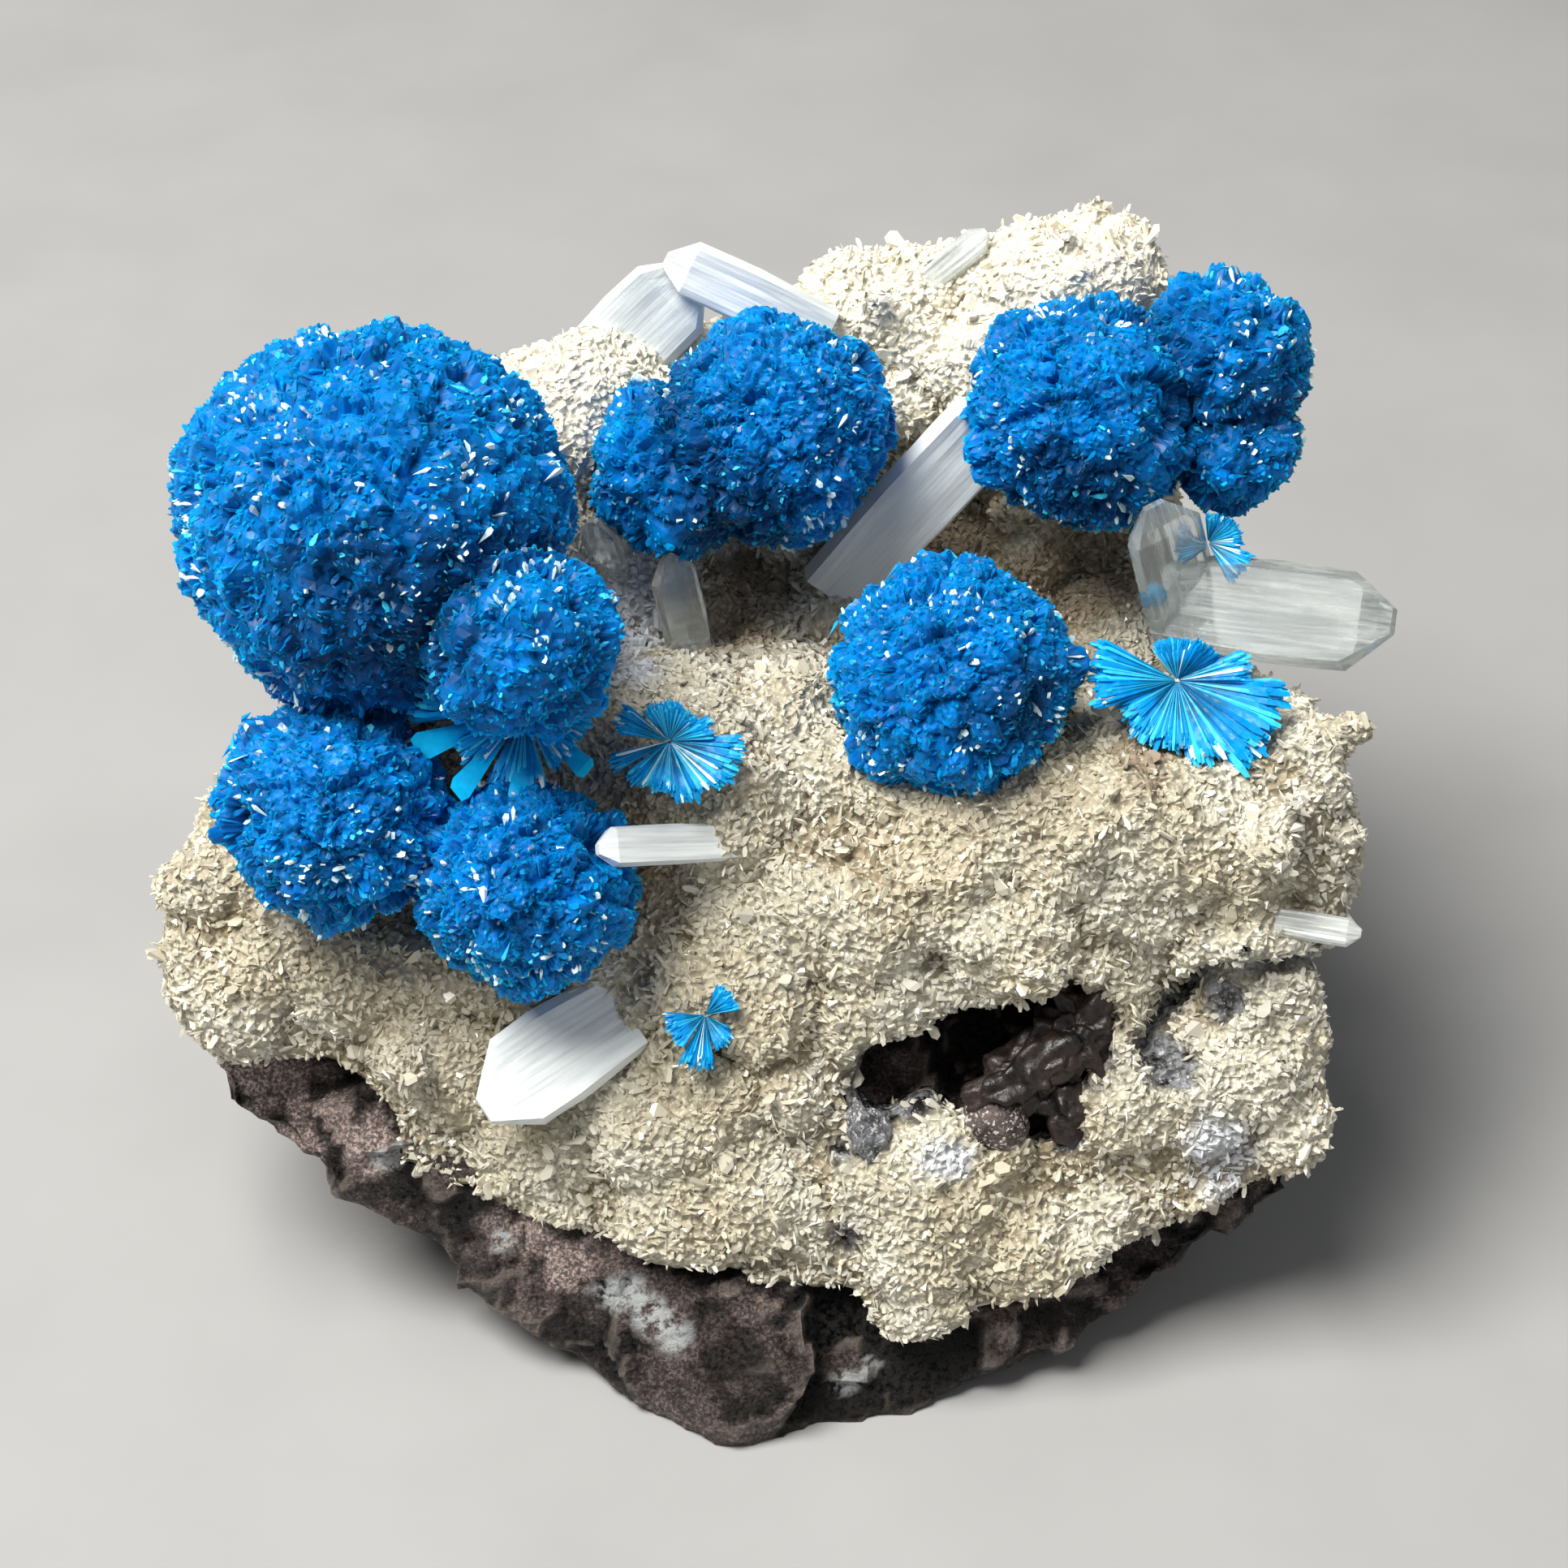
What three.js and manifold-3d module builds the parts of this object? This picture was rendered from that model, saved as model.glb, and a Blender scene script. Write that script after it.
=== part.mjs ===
// A cavansite specimen: blue radiating crystal balls and clear stilbite blades, on a crust of small
// zeolite crystals that coats the leaning face of a broken wedge of basalt.
//
// Everything grew on that one face, so all of it is laid out in the face's own frame, in
// millimetres: u to the right, v up along the face, n out of it. The group at the end leans the
// face back over the table, and stands the rock on its flat base with the origin under its middle.

import * as THREE from "three";
import { ConvexGeometry } from "three/addons/geometries/ConvexGeometry.js";
import { TessellateModifier } from "three/addons/modifiers/TessellateModifier.js";
import { mergeVertices } from "three/addons/utils/BufferGeometryUtils.js";
import Module from "manifold-3d";

const wasm = await Module();
wasm.setup();

// Driving dimensions, in millimetres and degrees.
const FACE_LEAN = THREE.MathUtils.degToRad(52); // the face against the table
const FACE_HEIGHT = 27; // the face frame's origin above the table
const FACE = { left: -34, right: 31, bottom: -37, top: 33 }; // what the relief grids cover
const CRUST_STEP = 3.2; // spacing of the crust's relief grid
const ROCK_STEP = 4; // spacing of the rock's relief grid
const CRUST_SKIRT = 4.4; // how far the crust wraps back round the rim
const GAP = 0.35; // between pieces that touch
const SLIVER = 0.2; // edges shorter than this, left by a cut, are closed up
const BEHIND = -60; // deeper than anything in the face frame
const HALF_WIDTH = 28; // of the specimen, for growing an outline by a gap

// Seeded random numbers from 0 to 1, so that every run gives the same crystals.
function randomFrom(seed) {
  let state = seed;
  return () => {
    state = (state + 0x6d2b79f5) | 0;
    let t = Math.imul(state ^ (state >>> 15), 1 | state);
    t = (t + Math.imul(t ^ (t >>> 7), 61 | t)) ^ t;
    return ((t ^ (t >>> 14)) >>> 0) / 4294967296;
  };
}

// Solids and geometries.

function solidOf(geometry) {
  const bare = new THREE.BufferGeometry().setAttribute("position", geometry.getAttribute("position"));
  if (geometry.index) bare.setIndex(geometry.index);
  const merged = mergeVertices(bare, 1e-4);
  return new wasm.Manifold(
    new wasm.Mesh({
      numProp: 3,
      vertProperties: new Float32Array(merged.attributes.position.array),
      triVerts: new Uint32Array(merged.index.array),
    }),
  );
}

function geometryOf(solid) {
  const mesh = mainBody(solid.simplify(SLIVER)).getMesh();
  const geometry = new THREE.BufferGeometry();
  geometry.setAttribute("position", new THREE.BufferAttribute(mesh.vertProperties, mesh.numProp));
  geometry.setIndex(new THREE.BufferAttribute(mesh.triVerts, 1));
  return geometry;
}

const joined = (solids) => solids.reduce((whole, next) => whole.add(next));

// The largest connected body, without any sliver that a cut has left beside it.
function mainBody(solid) {
  return solid.decompose().reduce((best, next) => (next.volume() > best.volume() ? next : best));
}

// A closed skin through rings of the same number of points, each ring counter-clockwise as seen
// from the last one.
function lofted(rings) {
  const count = rings[0].length;
  const last = (rings.length - 1) * count;
  const faces = [];
  for (let start = 0; start < last; start += count) {
    for (let i = 0; i < count; i++) {
      const a = start + i;
      const b = start + ((i + 1) % count);
      faces.push(a, b, b + count, a, b + count, a + count);
    }
  }
  for (let i = 1; i + 1 < count; i++) {
    faces.push(0, i + 1, i);
    faces.push(last, last + i, last + i + 1);
  }
  const geometry = new THREE.BufferGeometry().setFromPoints(rings.flat());
  geometry.setIndex(faces);
  return geometry;
}

// Everything over the face between two heights, each a function of u and v.
function between(upper, lower, step) {
  const random = randomFrom(7);
  const columns = Math.ceil((FACE.right - FACE.left) / step);
  const rows = Math.ceil((FACE.top - FACE.bottom) / step);
  const points = [[], []];
  for (let j = 0; j <= rows; j++) {
    for (let i = 0; i <= columns; i++) {
      const inside = i > 0 && i < columns && j > 0 && j < rows;
      const shift = inside ? 0.5 * step : 0;
      const u = FACE.left + i * step + shift * (random() - 0.5);
      const v = FACE.bottom + j * step + shift * (random() - 0.5);
      points[0].push(new THREE.Vector3(u, v, upper(u, v)));
      points[1].push(new THREE.Vector3(u, v, lower(u, v)));
    }
  }
  const layer = points[0].length;
  const at = (i, j) => j * (columns + 1) + i;
  const faces = [];
  const quad = (a, b, c, d) => faces.push(a, b, c, a, c, d);
  for (let j = 0; j < rows; j++) {
    for (let i = 0; i < columns; i++) {
      const [a, b, c, d] = [at(i, j), at(i + 1, j), at(i + 1, j + 1), at(i, j + 1)];
      const turned = (i + j) % 2 ? [a, b, c, d] : [b, c, d, a];
      quad(...turned);
      quad(...turned.map((k) => k + layer).reverse());
    }
  }
  for (let i = 0; i < columns; i++) {
    quad(at(i, 0) + layer, at(i + 1, 0) + layer, at(i + 1, 0), at(i, 0));
    quad(at(i + 1, rows) + layer, at(i, rows) + layer, at(i, rows), at(i + 1, rows));
  }
  for (let j = 0; j < rows; j++) {
    quad(at(0, j + 1) + layer, at(0, j) + layer, at(0, j), at(0, j + 1));
    quad(at(columns, j) + layer, at(columns, j + 1) + layer, at(columns, j + 1), at(columns, j));
  }
  const geometry = new THREE.BufferGeometry().setFromPoints(points.flat());
  geometry.setIndex(faces);
  return solidOf(geometry);
}

// A straight prism along n over an outline in u and v.
function prism(outline) {
  const shape = new THREE.Shape(outline.map(([u, v]) => new THREE.Vector2(u, v)));
  const geometry = new THREE.ExtrudeGeometry(shape, { depth: 2 * -BEHIND, bevelEnabled: false });
  return solidOf(geometry.translate(0, 0, BEHIND));
}

// A point of the standing specimen (x right, y back, z up from the table) in the face frame.
function fromTable(x, y, z) {
  const rise = z - FACE_HEIGHT;
  const [sin, cos] = [Math.sin(FACE_LEAN), Math.cos(FACE_LEAN)];
  return new THREE.Vector3(x, y * cos + rise * sin, rise * cos - y * sin);
}

// Relief of the face.

// The face's height along v, as [v, n], where the rock steps back into the hollow under the ridge
// (right), and where it stays nearly even and carries the largest ball (left).
const PROFILE_RIGHT = [
  [-37, -1.5], [-20, -0.8], [-8, 1], [2.5, 1.2], [7.5, -8.5], [12, -11], [17, -8], [33, -9],
];
const PROFILE_LEFT = [
  [-37, -3.2], [-16, -2], [-5, 0], [2, -1.2], [8, -4], [16, -5.5], [22, -6.5], [33, -9],
];
const HOLLOW_EDGE = [-13, -3]; // u over which the left profile gives way to the right one
const LUMP_STEEPNESS = 1.2; // how fast a lump falls off around its middle
const GRAIN_RISE = [0.35, 0.2]; // of the crust's small ups and downs

// Lumps of the crust, as [u, v, radius, rise].
const MOUNDS = [
  [-3.4, 4.4, 4.2, 3.6], [-1.4, -0.6, 3.4, 2.2], [4.4, -5, 4.2, 3.2], [10.6, -3, 4, 2.8],
  [17.2, -2.6, 4, 3.8], [24.4, 0.4, 4.4, 4.2], [25, -5.2, 3.8, 3.4], [11.2, -7.4, 3.4, 2],
  [20.4, -8, 2.8, 1.6], [-0.6, -13, 4.6, 1.6], [-8, -9.6, 3.6, 1.2], [-16.5, -12, 4.4, 1.4],
  [-27.4, -6.6, 3.8, 2], [-24.6, -11.4, 3, 1.4], [14.8, 26.8, 4, 3.8], [11.2, 24.4, 3.2, 1.6],
  [5.4, 25.6, 3.6, 2.6], [5.6, 21.4, 3.2, 2.2], [0.8, 23.8, 3, 1.6], [10, 20.6, 3, 1.8],
  [-10.8, 21, 4, 2.6], [-12, 16.6, 3, 2], [-5, 22.6, 3.2, 1.2], [18.2, 25, 3.2, 2.2],
  [14.6, 17.5, 4.5, 2.6], [7.5, -22, 4.4, 1.2], [18, -17.6, 4.2, 1.4], [-8, -17.5, 4.4, 1.2],
  [1.4, -19.4, 3, 1], [24, -15.6, 3, 1.4],
];

// Bare basalt that stands up in the pit and at the foot, as [u, v, radius, rise].
const ROCK_KNOBS = [
  [14, -12.6, 2.6, 3.4], [10.2, -16.8, 1.4, 1.6], [-0.6, -27.8, 3, 2], [-5, -30, 2.6, 1.2],
  [-17.5, -19.6, 2.4, 0.9], [18, -13.5, 1.5, 1], [-1.8, -33.4, 2.6, 2],
];

function along(profile, v) {
  const next = profile.findIndex(([at]) => at >= v);
  if (next <= 0) return profile[next < 0 ? profile.length - 1 : 0][1];
  const [[v0, n0], [v1, n1]] = [profile[next - 1], profile[next]];
  return THREE.MathUtils.mapLinear(v, v0, v1, n0, n1);
}

function lumps(list, u, v) {
  const rise = ([u0, v0, radius, height]) => {
    const away = ((u - u0) ** 2 + (v - v0) ** 2) / radius ** 2;
    return height * Math.exp(-LUMP_STEEPNESS * away);
  };
  return list.reduce((sum, lump) => sum + rise(lump), 0);
}

function level(u, v) {
  const right = THREE.MathUtils.smoothstep(u, ...HOLLOW_EDGE);
  return THREE.MathUtils.lerp(along(PROFILE_LEFT, v), along(PROFILE_RIGHT, v), right);
}

// Small ups and downs of the crust, so that its facets stand at angles like coarse crystals.
function grain(u, v) {
  const crossed = Math.sin(2.7 * u + 1.9 * v) * Math.cos(2.3 * v - 1.3 * u);
  return GRAIN_RISE[0] * crossed + GRAIN_RISE[1] * Math.sin(4.1 * u);
}

const crustTop = (u, v) => level(u, v) + lumps(MOUNDS, u, v) + grain(u, v);

// The crust's foot line on the lower left, as [u, v]: it thins out towards it.
const FOOT_LINE = [[-31, -10], [-22, -14.5], [-19.5, -18], [-9, -23], [1, -25.6], [31, -40]];
const THINNING = 7; // how far above that line it is at its full thickness
const CRUST_THICKNESS = [1.1, 3.2]; // at the line, and in full

function crustThickness(u, v) {
  const aboveFoot = v - along(FOOT_LINE, u);
  return THREE.MathUtils.lerp(...CRUST_THICKNESS, THREE.MathUtils.smoothstep(aboveFoot, 0, THINNING));
}

const rockTop = (u, v) => level(u, v) - crustThickness(u, v) + lumps(ROCK_KNOBS, u, v);

// The basalt wedge.

// Its rim as seen from in front of the face: [u, v] and how deep the broken side goes back.
const ROCK_RIM = [
  [-1.9, -34.4, 0], [-5.5, -32.6, -0.8], [-28.3, -16.7, -4.5], [-30, -14, -6], [-30.5, -9, -8],
  [-29.6, -4.5, -10], [-26.5, 0.5, -13], [-21, 8, -18], [-15, 18, -19], [-9.5, 20.8, -21],
  [3, 24.6, -23], [13, 27, -24], [17.2, 25.6, -22], [18.6, 22, -20], [19.4, 14, -18],
  [24.4, 3, -12], [25.9, -3.5, -9], [25.6, -12, -8], [25.6, -20.2, -5], [19.3, -26, -3.4],
  [17.4, -27.3, -3], [8, -30, -2.2],
];

const ROCK_FACET = 12; // longest edge of its broken facets
const ROCK_ROUGHNESS = 0.9; // how far the facets' corners stand in or out
const ROCK_HEART = new THREE.Vector3(0, -4, -24); // a point in the middle of it, in the face frame

// The corners of its underside, which the table's plane cuts flat, and of its broken back,
// standing: x right, y back, z up.
const UNDERSIDE = -2;
const ROCK_BASE = [
  [-2.4, -20.6], [3, -17.5], [14, -7], [19, 6], [17, 20], [9, 27.5], [-8, 28.5], [-17, 19],
  [-17, 5], [-9, -12],
].map(([x, y]) => [x, y, UNDERSIDE]);
const ROCK_BACK = [
  [14, 35.5, 31], [-4, 36.5, 29], [-16, 29, 24], [22, 25, 21], [4, 38, 14], [-13, 33.5, 9],
  [18, 29, 8],
];

// Blocks that broke out of the back and sides, each the hull of its standing corners.
const BREAKS = [
  [[-30, 40, 40], [-30, 22, 40], [-4, 30, 19], [-4, 42, 17], [-30, 40, 15], [-30, 24, 17]],
  [[26, 16, 16], [26, 40, 16], [10, 40, 12], [14, 26, 13], [26, 16, 6], [26, 40, 6], [13, 36, 4]],
  [[-24, -12, -4], [-24, 10, -4], [-14, -3, -4], [-14, 8, -4], [-24, -12, 7], [-24, 12, 7], [-16, 2, 5]],
];

function hull(points) {
  return solidOf(new ConvexGeometry(points));
}

function basalt() {
  const rimFront = ROCK_RIM.map(([u, v]) => new THREE.Vector3(u, v, -BEHIND));
  const rimBack = ROCK_RIM.map(([u, v, depth]) => new THREE.Vector3(u, v, depth));
  const corners = [...ROCK_BASE, ...ROCK_BACK].map((corner) => fromTable(...corner));
  const block = hull([...rimFront, ...rimBack, ...corners]);
  const broken = BREAKS.map((piece) => hull(piece.map((corner) => fromTable(...corner))));
  return roughened(block.subtract(joined(broken)));
}

// From about -1.6 to 1.6: how far each corner of the broken rock stands in or out.
function unevenness({ x, y, z }) {
  const crossed = Math.sin(0.9 * x + 1.7 * z) * Math.cos(0.8 * y - 0.6 * z);
  return crossed + 0.6 * Math.sin(2.3 * y + 1.9 * x);
}

// The same solid with its large faces broken up into facets that stand a little in or out.
function roughened(solid) {
  const fine = new TessellateModifier(ROCK_FACET, 12).modify(geometryOf(solid).toNonIndexed());
  const position = fine.getAttribute("position");
  const point = new THREE.Vector3();
  for (let i = 0; i < position.count; i++) {
    point.fromBufferAttribute(position, i);
    const shift = ROCK_ROUGHNESS * unevenness(point);
    point.add(point.clone().sub(ROCK_HEART).setLength(shift));
    position.setXYZ(i, point.x, point.y, point.z);
  }
  return fine;
}

// All that would be under the table.
function belowTable() {
  const [width, depth] = [4 * HALF_WIDTH, -BEHIND];
  const slab = new THREE.BoxGeometry(width, width, depth).translate(0, 0, -depth / 2 - FACE_HEIGHT);
  return solidOf(slab.applyMatrix4(new THREE.Matrix4().makeRotationX(-FACE_LEAN)));
}

// The crust.

// Its edge, from its lowest corner round the right side, over the ridge and down the left.
const CRUST_OUTLINE = [
  [4.8, -28.5], [9.5, -26.8], [17.6, -23.3], [21.7, -21.3], [25.4, -19.5], [26.8, -18],
  [27.4, -14.8], [26.8, -11], [26.6, -9.3], [28, -7.9], [28.7, -3.4], [27.6, 0.7], [26.4, 4.4],
  [24.1, 5.6], [22.6, 7.6], [21.5, 10.8], [20.8, 14.1], [21.5, 19], [21, 25.3], [19.1, 27],
  [18.7, 28.9], [15, 30.2], [13, 29.7], [10.7, 28.8], [7.9, 27.5], [5.9, 28.1], [3.4, 27.7],
  [0.8, 26.1], [-2.7, 24], [-7, 23.6], [-10.8, 23.3], [-13.5, 22.1], [-17, 19.5], [-20.5, 14.1],
  [-23.5, 6.7], [-27.6, 1.9], [-29.6, -0.8], [-29.4, -3.4], [-31.4, -4.7], [-31.3, -8.7],
  [-30.3, -10.6], [-29.1, -12.5], [-27.6, -13.9], [-25.5, -14.1], [-23, -13.8], [-21.4, -15],
  [-19.6, -17], [-19.8, -19.3], [-16, -21], [-12.5, -22.2], [-9, -22.9], [-4, -24],
  [-1.5, -25.2], [1.5, -25.6], [3.6, -25.2], [4.2, -27],
];

// The pit in it that bares the basalt, and the crack beside the pit.
const PIT = [
  [4.6, -11.9], [8, -11.2], [11.6, -10.2], [13.4, -8.8], [15.8, -10], [16.4, -13.2], [15, -15.2],
  [14.4, -17.6], [11.6, -18.2], [9, -17.8], [7.4, -15], [5, -16.4], [3.6, -15.4],
];
const CRACK = [[17.4, -13.4], [18, -11.4], [20.4, -9], [23.4, -9.2], [20.8, -9.8], [18.8, -12.2]];

// The coarser crystals that stand out of the crust: how many, and their length and half width.
const CRUST_CRYSTALS = 28;
const CRYSTAL_LENGTH = [1, 1.9];
const CRYSTAL_HALF_WIDTH = [0.5, 0.9];
const CRYSTAL_ROOT = 1; // how deep a crystal's root goes into the crust
const CRYSTAL_CLEARANCE = 1.2; // from the crystals to what stands on the crust
const ROSETTE_REACH = 6.2; // the longest fan of any rosette

function crustCrystals() {
  const random = randomFrom(41);
  const crystals = [];
  while (crystals.length < CRUST_CRYSTALS) {
    const [moundU, moundV, spread] = MOUNDS[Math.floor(random() * MOUNDS.length)];
    const turn = random() * 2 * Math.PI;
    const away = Math.sqrt(random()) * spread;
    const [u, v] = [moundU + away * Math.cos(turn), moundV + away * Math.sin(turn)];
    const lean = new THREE.Vector3(u - moundU, v - moundV, 1.1 * spread).normalize();
    const root = new THREE.Vector3(u, v, crustTop(u, v) - CRYSTAL_ROOT);
    const length = CRYSTAL_ROOT + THREE.MathUtils.lerp(...CRYSTAL_LENGTH, random());
    const halfWidth = THREE.MathUtils.lerp(...CRYSTAL_HALF_WIDTH, random());
    const tip = root.clone().addScaledVector(lean, length);
    if (onCrust(u, v) && clearOfGrowths(root) && clearOfGrowths(tip)) {
      crystals.push(solidOf(needle(root, lean, length, halfWidth)));
    }
  }
  return joined(crystals);
}

// Whether a point of the face is well inside the crust's edge.
function onCrust(u, v) {
  let inside = false;
  CRUST_OUTLINE.forEach(([u1, v1], i) => {
    const [u0, v0] = CRUST_OUTLINE[(i + CRUST_OUTLINE.length - 1) % CRUST_OUTLINE.length];
    const crosses = v1 > v !== v0 > v && u < ((u0 - u1) * (v - v1)) / (v0 - v1) + u1;
    if (crosses) inside = !inside;
  });
  return inside;
}

// Whether a point stays clear of the balls, rosettes and blades that stand on the crust.
function clearOfGrowths(point) {
  const balls = Object.values(LOBES).flat();
  const stars = [...Object.values(ROSETTES), SPRAY].map(({ centre }) => [...centre, ROSETTE_REACH]);
  const round = [...balls, ...stars].every(
    ([u, v, n, radius]) => point.distanceTo(new THREE.Vector3(u, v, n)) > radius + CRYSTAL_CLEARANCE,
  );
  const nearest = new THREE.Vector3();
  const straight = Object.values(BLADES).flat().every(({ root, tip, width }) => {
    const line = new THREE.Line3(new THREE.Vector3(...root), new THREE.Vector3(...tip));
    line.closestPointToPoint(point, true, nearest);
    return nearest.distanceTo(point) > width / 2 + CRYSTAL_CLEARANCE;
  });
  return round && straight;
}

// A short four-sided crystal with a roof-shaped end.
function needle(root, direction, length, halfWidth) {
  const across = new THREE.Vector3(0.3, 1, 0.2).cross(direction).normalize();
  const other = new THREE.Vector3().crossVectors(direction, across);
  // Each ring: how far along it is, and its two half widths over the crystal's.
  const rings = [[0, 1, 0.5], [0.75, 1, 0.5], [1, 0.35, 0.3]];
  const corners = [[1, 1], [-1, 1], [-1, -1], [1, -1]];
  return lofted(
    rings.map(([at, wide, thin]) =>
      corners.map(([a, b]) =>
        root
          .clone()
          .addScaledVector(direction, at * length)
          .addScaledVector(across, a * wide * halfWidth)
          .addScaledVector(other, b * thin * halfWidth),
      ),
    ),
  );
}

function crust(rockKeepOut, freshCrystals) {
  const layer = between(crustTop, (u, v) => level(u, v) - CRUST_SKIRT, CRUST_STEP);
  const sheet = layer.intersect(prism(CRUST_OUTLINE)).subtract(prism(PIT)).subtract(prism(CRACK));
  return sheet.add(freshCrystals).subtract(rockKeepOut);
}

// Stilbite blades: where each is rooted and where it ends, its width and thickness, and the turn
// of its flat side about its own length, in degrees (0 faces straight out of the face). Blades of
// one name have grown together.
const bladeFrom = ([root, tip, width, thick, turn]) => ({ root, tip, width, thick, turn });
const BLADES = Object.fromEntries(
  Object.entries({
    stilbite_roof: [
      [[-10.2, 21.2, -6.9], [-4.3, 26.3, -4.6], 5, 1.3, 18],
      [[1.8, 23.6, -5.6], [-6, 27, -3.6], 3, 1.6, -16],
    ],
    stilbite_diagonal: [[[3, 10.8, -8.8], [11.4, 19.4, -2.6], 4.4, 2.2, 20]],
    stilbite_pair_right: [
      [[21.4, 6.2, -6], [18.6, 14, 1.4], 4.2, 1.4, 10],
      [[20, 9.5, -3.6], [30.1, 7.7, 2.2], 5.2, 2.4, 8],
    ],
    stilbite_crest: [[[7, 25.8, -7], [10.6, 28.6, -6.1], 1.6, 1.1, 0]],
    stilbite_small_left: [[[-2, -2.85, 1.8], [-9, -3.05, 6.5], 2, 1.3, 6]],
    stilbite_tablet_low: [[[-8.4, -11.6, 0.2], [-15, -15.9, 2.4], 5.2, 1.5, 0]],
    stilbite_hollow_tall: [[[-4.6, 6, -5], [-5.8, 11.6, -1.6], 2.8, 0.9, 30]],
    stilbite_hollow_small: [[[-8.6, 10, -7.4], [-9.6, 13.4, -2.4], 2, 1, -20]],
    stilbite_rim_right: [[[23.4, -6.6, 2.4], [28.2, -7.4, 4.2], 1.5, 0.9, 0]],
  }).map(([name, shapes]) => [name, shapes.map(bladeFrom)]),
);
// A blade's section, across the flat side and through it, over the half width and thickness.
const BLADE_SECTION = [[1, 0], [0.86, 1], [-0.8, 1], [-1, 0.1], [-0.84, -1], [0.8, -1]];
const SHOULDER = 0.42; // how far below the tip the blade narrows, over its width

function blade({ root, tip, width: bareWidth, thick: bareThickness, turn }, room = 0) {
  const [width, thick] = [bareWidth + 2 * room, bareThickness + 2 * room];
  const start = new THREE.Vector3(...root);
  const axis = new THREE.Vector3(...tip).sub(start);
  const length = axis.length() + room;
  axis.normalize();
  const outward = new THREE.Vector3(0, 0, 1).applyAxisAngle(axis, THREE.MathUtils.degToRad(turn));
  const across = new THREE.Vector3().crossVectors(outward, axis).normalize();
  const flat = new THREE.Vector3().crossVectors(axis, across);
  // Each ring: how far along it is, its width and thickness over the blade's, and its shift.
  const rings = [
    [-0.06, 0.86, 0.9, 0], [0.45, 1, 1, 0], [1 - (SHOULDER * width) / length, 0.97, 0.96, 0.02],
    [1, 0.28, 0.3, 0.12],
  ];
  return lofted(
    rings.map(([at, wide, thin, shift]) =>
      BLADE_SECTION.map(([a, b]) =>
        start
          .clone()
          .addScaledVector(axis, at * length)
          .addScaledVector(across, ((a * wide + shift) * width) / 2)
          .addScaledVector(flat, (b * thin * thick) / 2),
      ),
    ),
  );
}

// Cavansite.

// Round lobes, as [u, v, n, radius]; lobes of one name have grown together.
const LOBES = {
  cavansite_cluster_left: [[-20, 12.8, 4.6, 10], [-12.6, 6.7, 9.2, 4.9]],
  cavansite_ball_top: [[-0.5, 18, -2.2, 6.1], [-5.3, 16.1, -3, 4.8]],
  cavansite_twin_right: [[15.1, 18.8, -1.6, 6], [22.2, 21.5, -2, 4.7], [22.8, 17.1, -2.4, 3.5]],
  cavansite_ball_centre: [[8.4, 5.2, 2.2, 6.3]],
  cavansite_ball_lower_left: [[-21.8, -1.4, 4.5, 5.8]],
  cavansite_ball_lower_middle: [[-12.6, -4.9, 4.2, 5.6]],
};
const ICOSAHEDRON_EDGE = 1.05; // its edge over its radius
const SPINE_LENGTH = 0.2; // how far the spines stand out, as a share of the radius
const SPINE_SPACING = 3.2; // about how far apart the spines stand
const SPINE_WANDER = 0.12; // how far a spine leans off its facet's middle
const SPINE_UNEVENNESS = 0.06; // how much shorter than the full radius a tip may be

// A ball whose every facet carries a short three-sided spine, its tip up to the full radius.
function spinyBall([u, v, n, bareRadius], seed, room) {
  const random = randomFrom(seed);
  const radius = bareRadius + room;
  const edgeParts = Math.round((ICOSAHEDRON_EDGE * bareRadius) / SPINE_SPACING);
  const shape = new THREE.IcosahedronGeometry(1, edgeParts - 1);
  shape.deleteAttribute("normal");
  shape.deleteAttribute("uv");
  const base = mergeVertices(shape, 1e-4);
  const centre = new THREE.Vector3(u, v, n);
  const points = [];
  for (let i = 0; i < base.attributes.position.count; i++) {
    const reach = radius * (1 - SPINE_LENGTH * (0.8 + 0.4 * random()));
    const corner = new THREE.Vector3().fromBufferAttribute(base.attributes.position, i);
    points.push(corner.setLength(reach));
  }
  const faces = [];
  for (let i = 0; i < base.index.count; i += 3) {
    const corners = [0, 1, 2].map((k) => base.index.getX(i + k));
    const tip = corners.reduce((sum, k) => sum.add(points[k]), new THREE.Vector3()).normalize();
    const wander = new THREE.Vector3(random() - 0.5, random() - 0.5, random() - 0.5);
    const reach = radius * (1 - SPINE_UNEVENNESS * random());
    tip.addScaledVector(wander, SPINE_WANDER).setLength(reach);
    const last = points.push(tip) - 1;
    for (let k = 0; k < 3; k++) faces.push(corners[k], corners[(k + 1) % 3], last);
  }
  const placed = points.map((point) => point.add(centre));
  const geometry = new THREE.BufferGeometry().setFromPoints(placed);
  geometry.setIndex(faces);
  return solidOf(geometry);
}

const TOOTH_ANGLE = 22; // degrees from one tooth of a fan's edge to the next
const TOOTH_DEPTH = 0.12; // over the fan's reach

// A flat fan of blades side by side, with a toothed outer edge, lying in its own x and y with the
// common root at the origin.
function fan(reach, spreadDegrees, thick) {
  const spread = THREE.MathUtils.degToRad(spreadDegrees);
  const teeth = Math.max(2, Math.round(spreadDegrees / TOOTH_ANGLE));
  const outline = [new THREE.Vector2(-TOOTH_DEPTH * reach, 0)];
  for (let i = 0; i <= 2 * teeth; i++) {
    const angle = spread * (i / (2 * teeth) - 0.5);
    const radius = reach * (i % 2 ? 1 : 1 - TOOTH_DEPTH);
    outline.push(new THREE.Vector2(radius * Math.cos(angle), radius * Math.sin(angle)));
  }
  const shape = new THREE.Shape(outline);
  const geometry = new THREE.ExtrudeGeometry(shape, { depth: thick, bevelEnabled: false });
  return geometry.translate(0, 0, -thick / 2);
}

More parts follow.
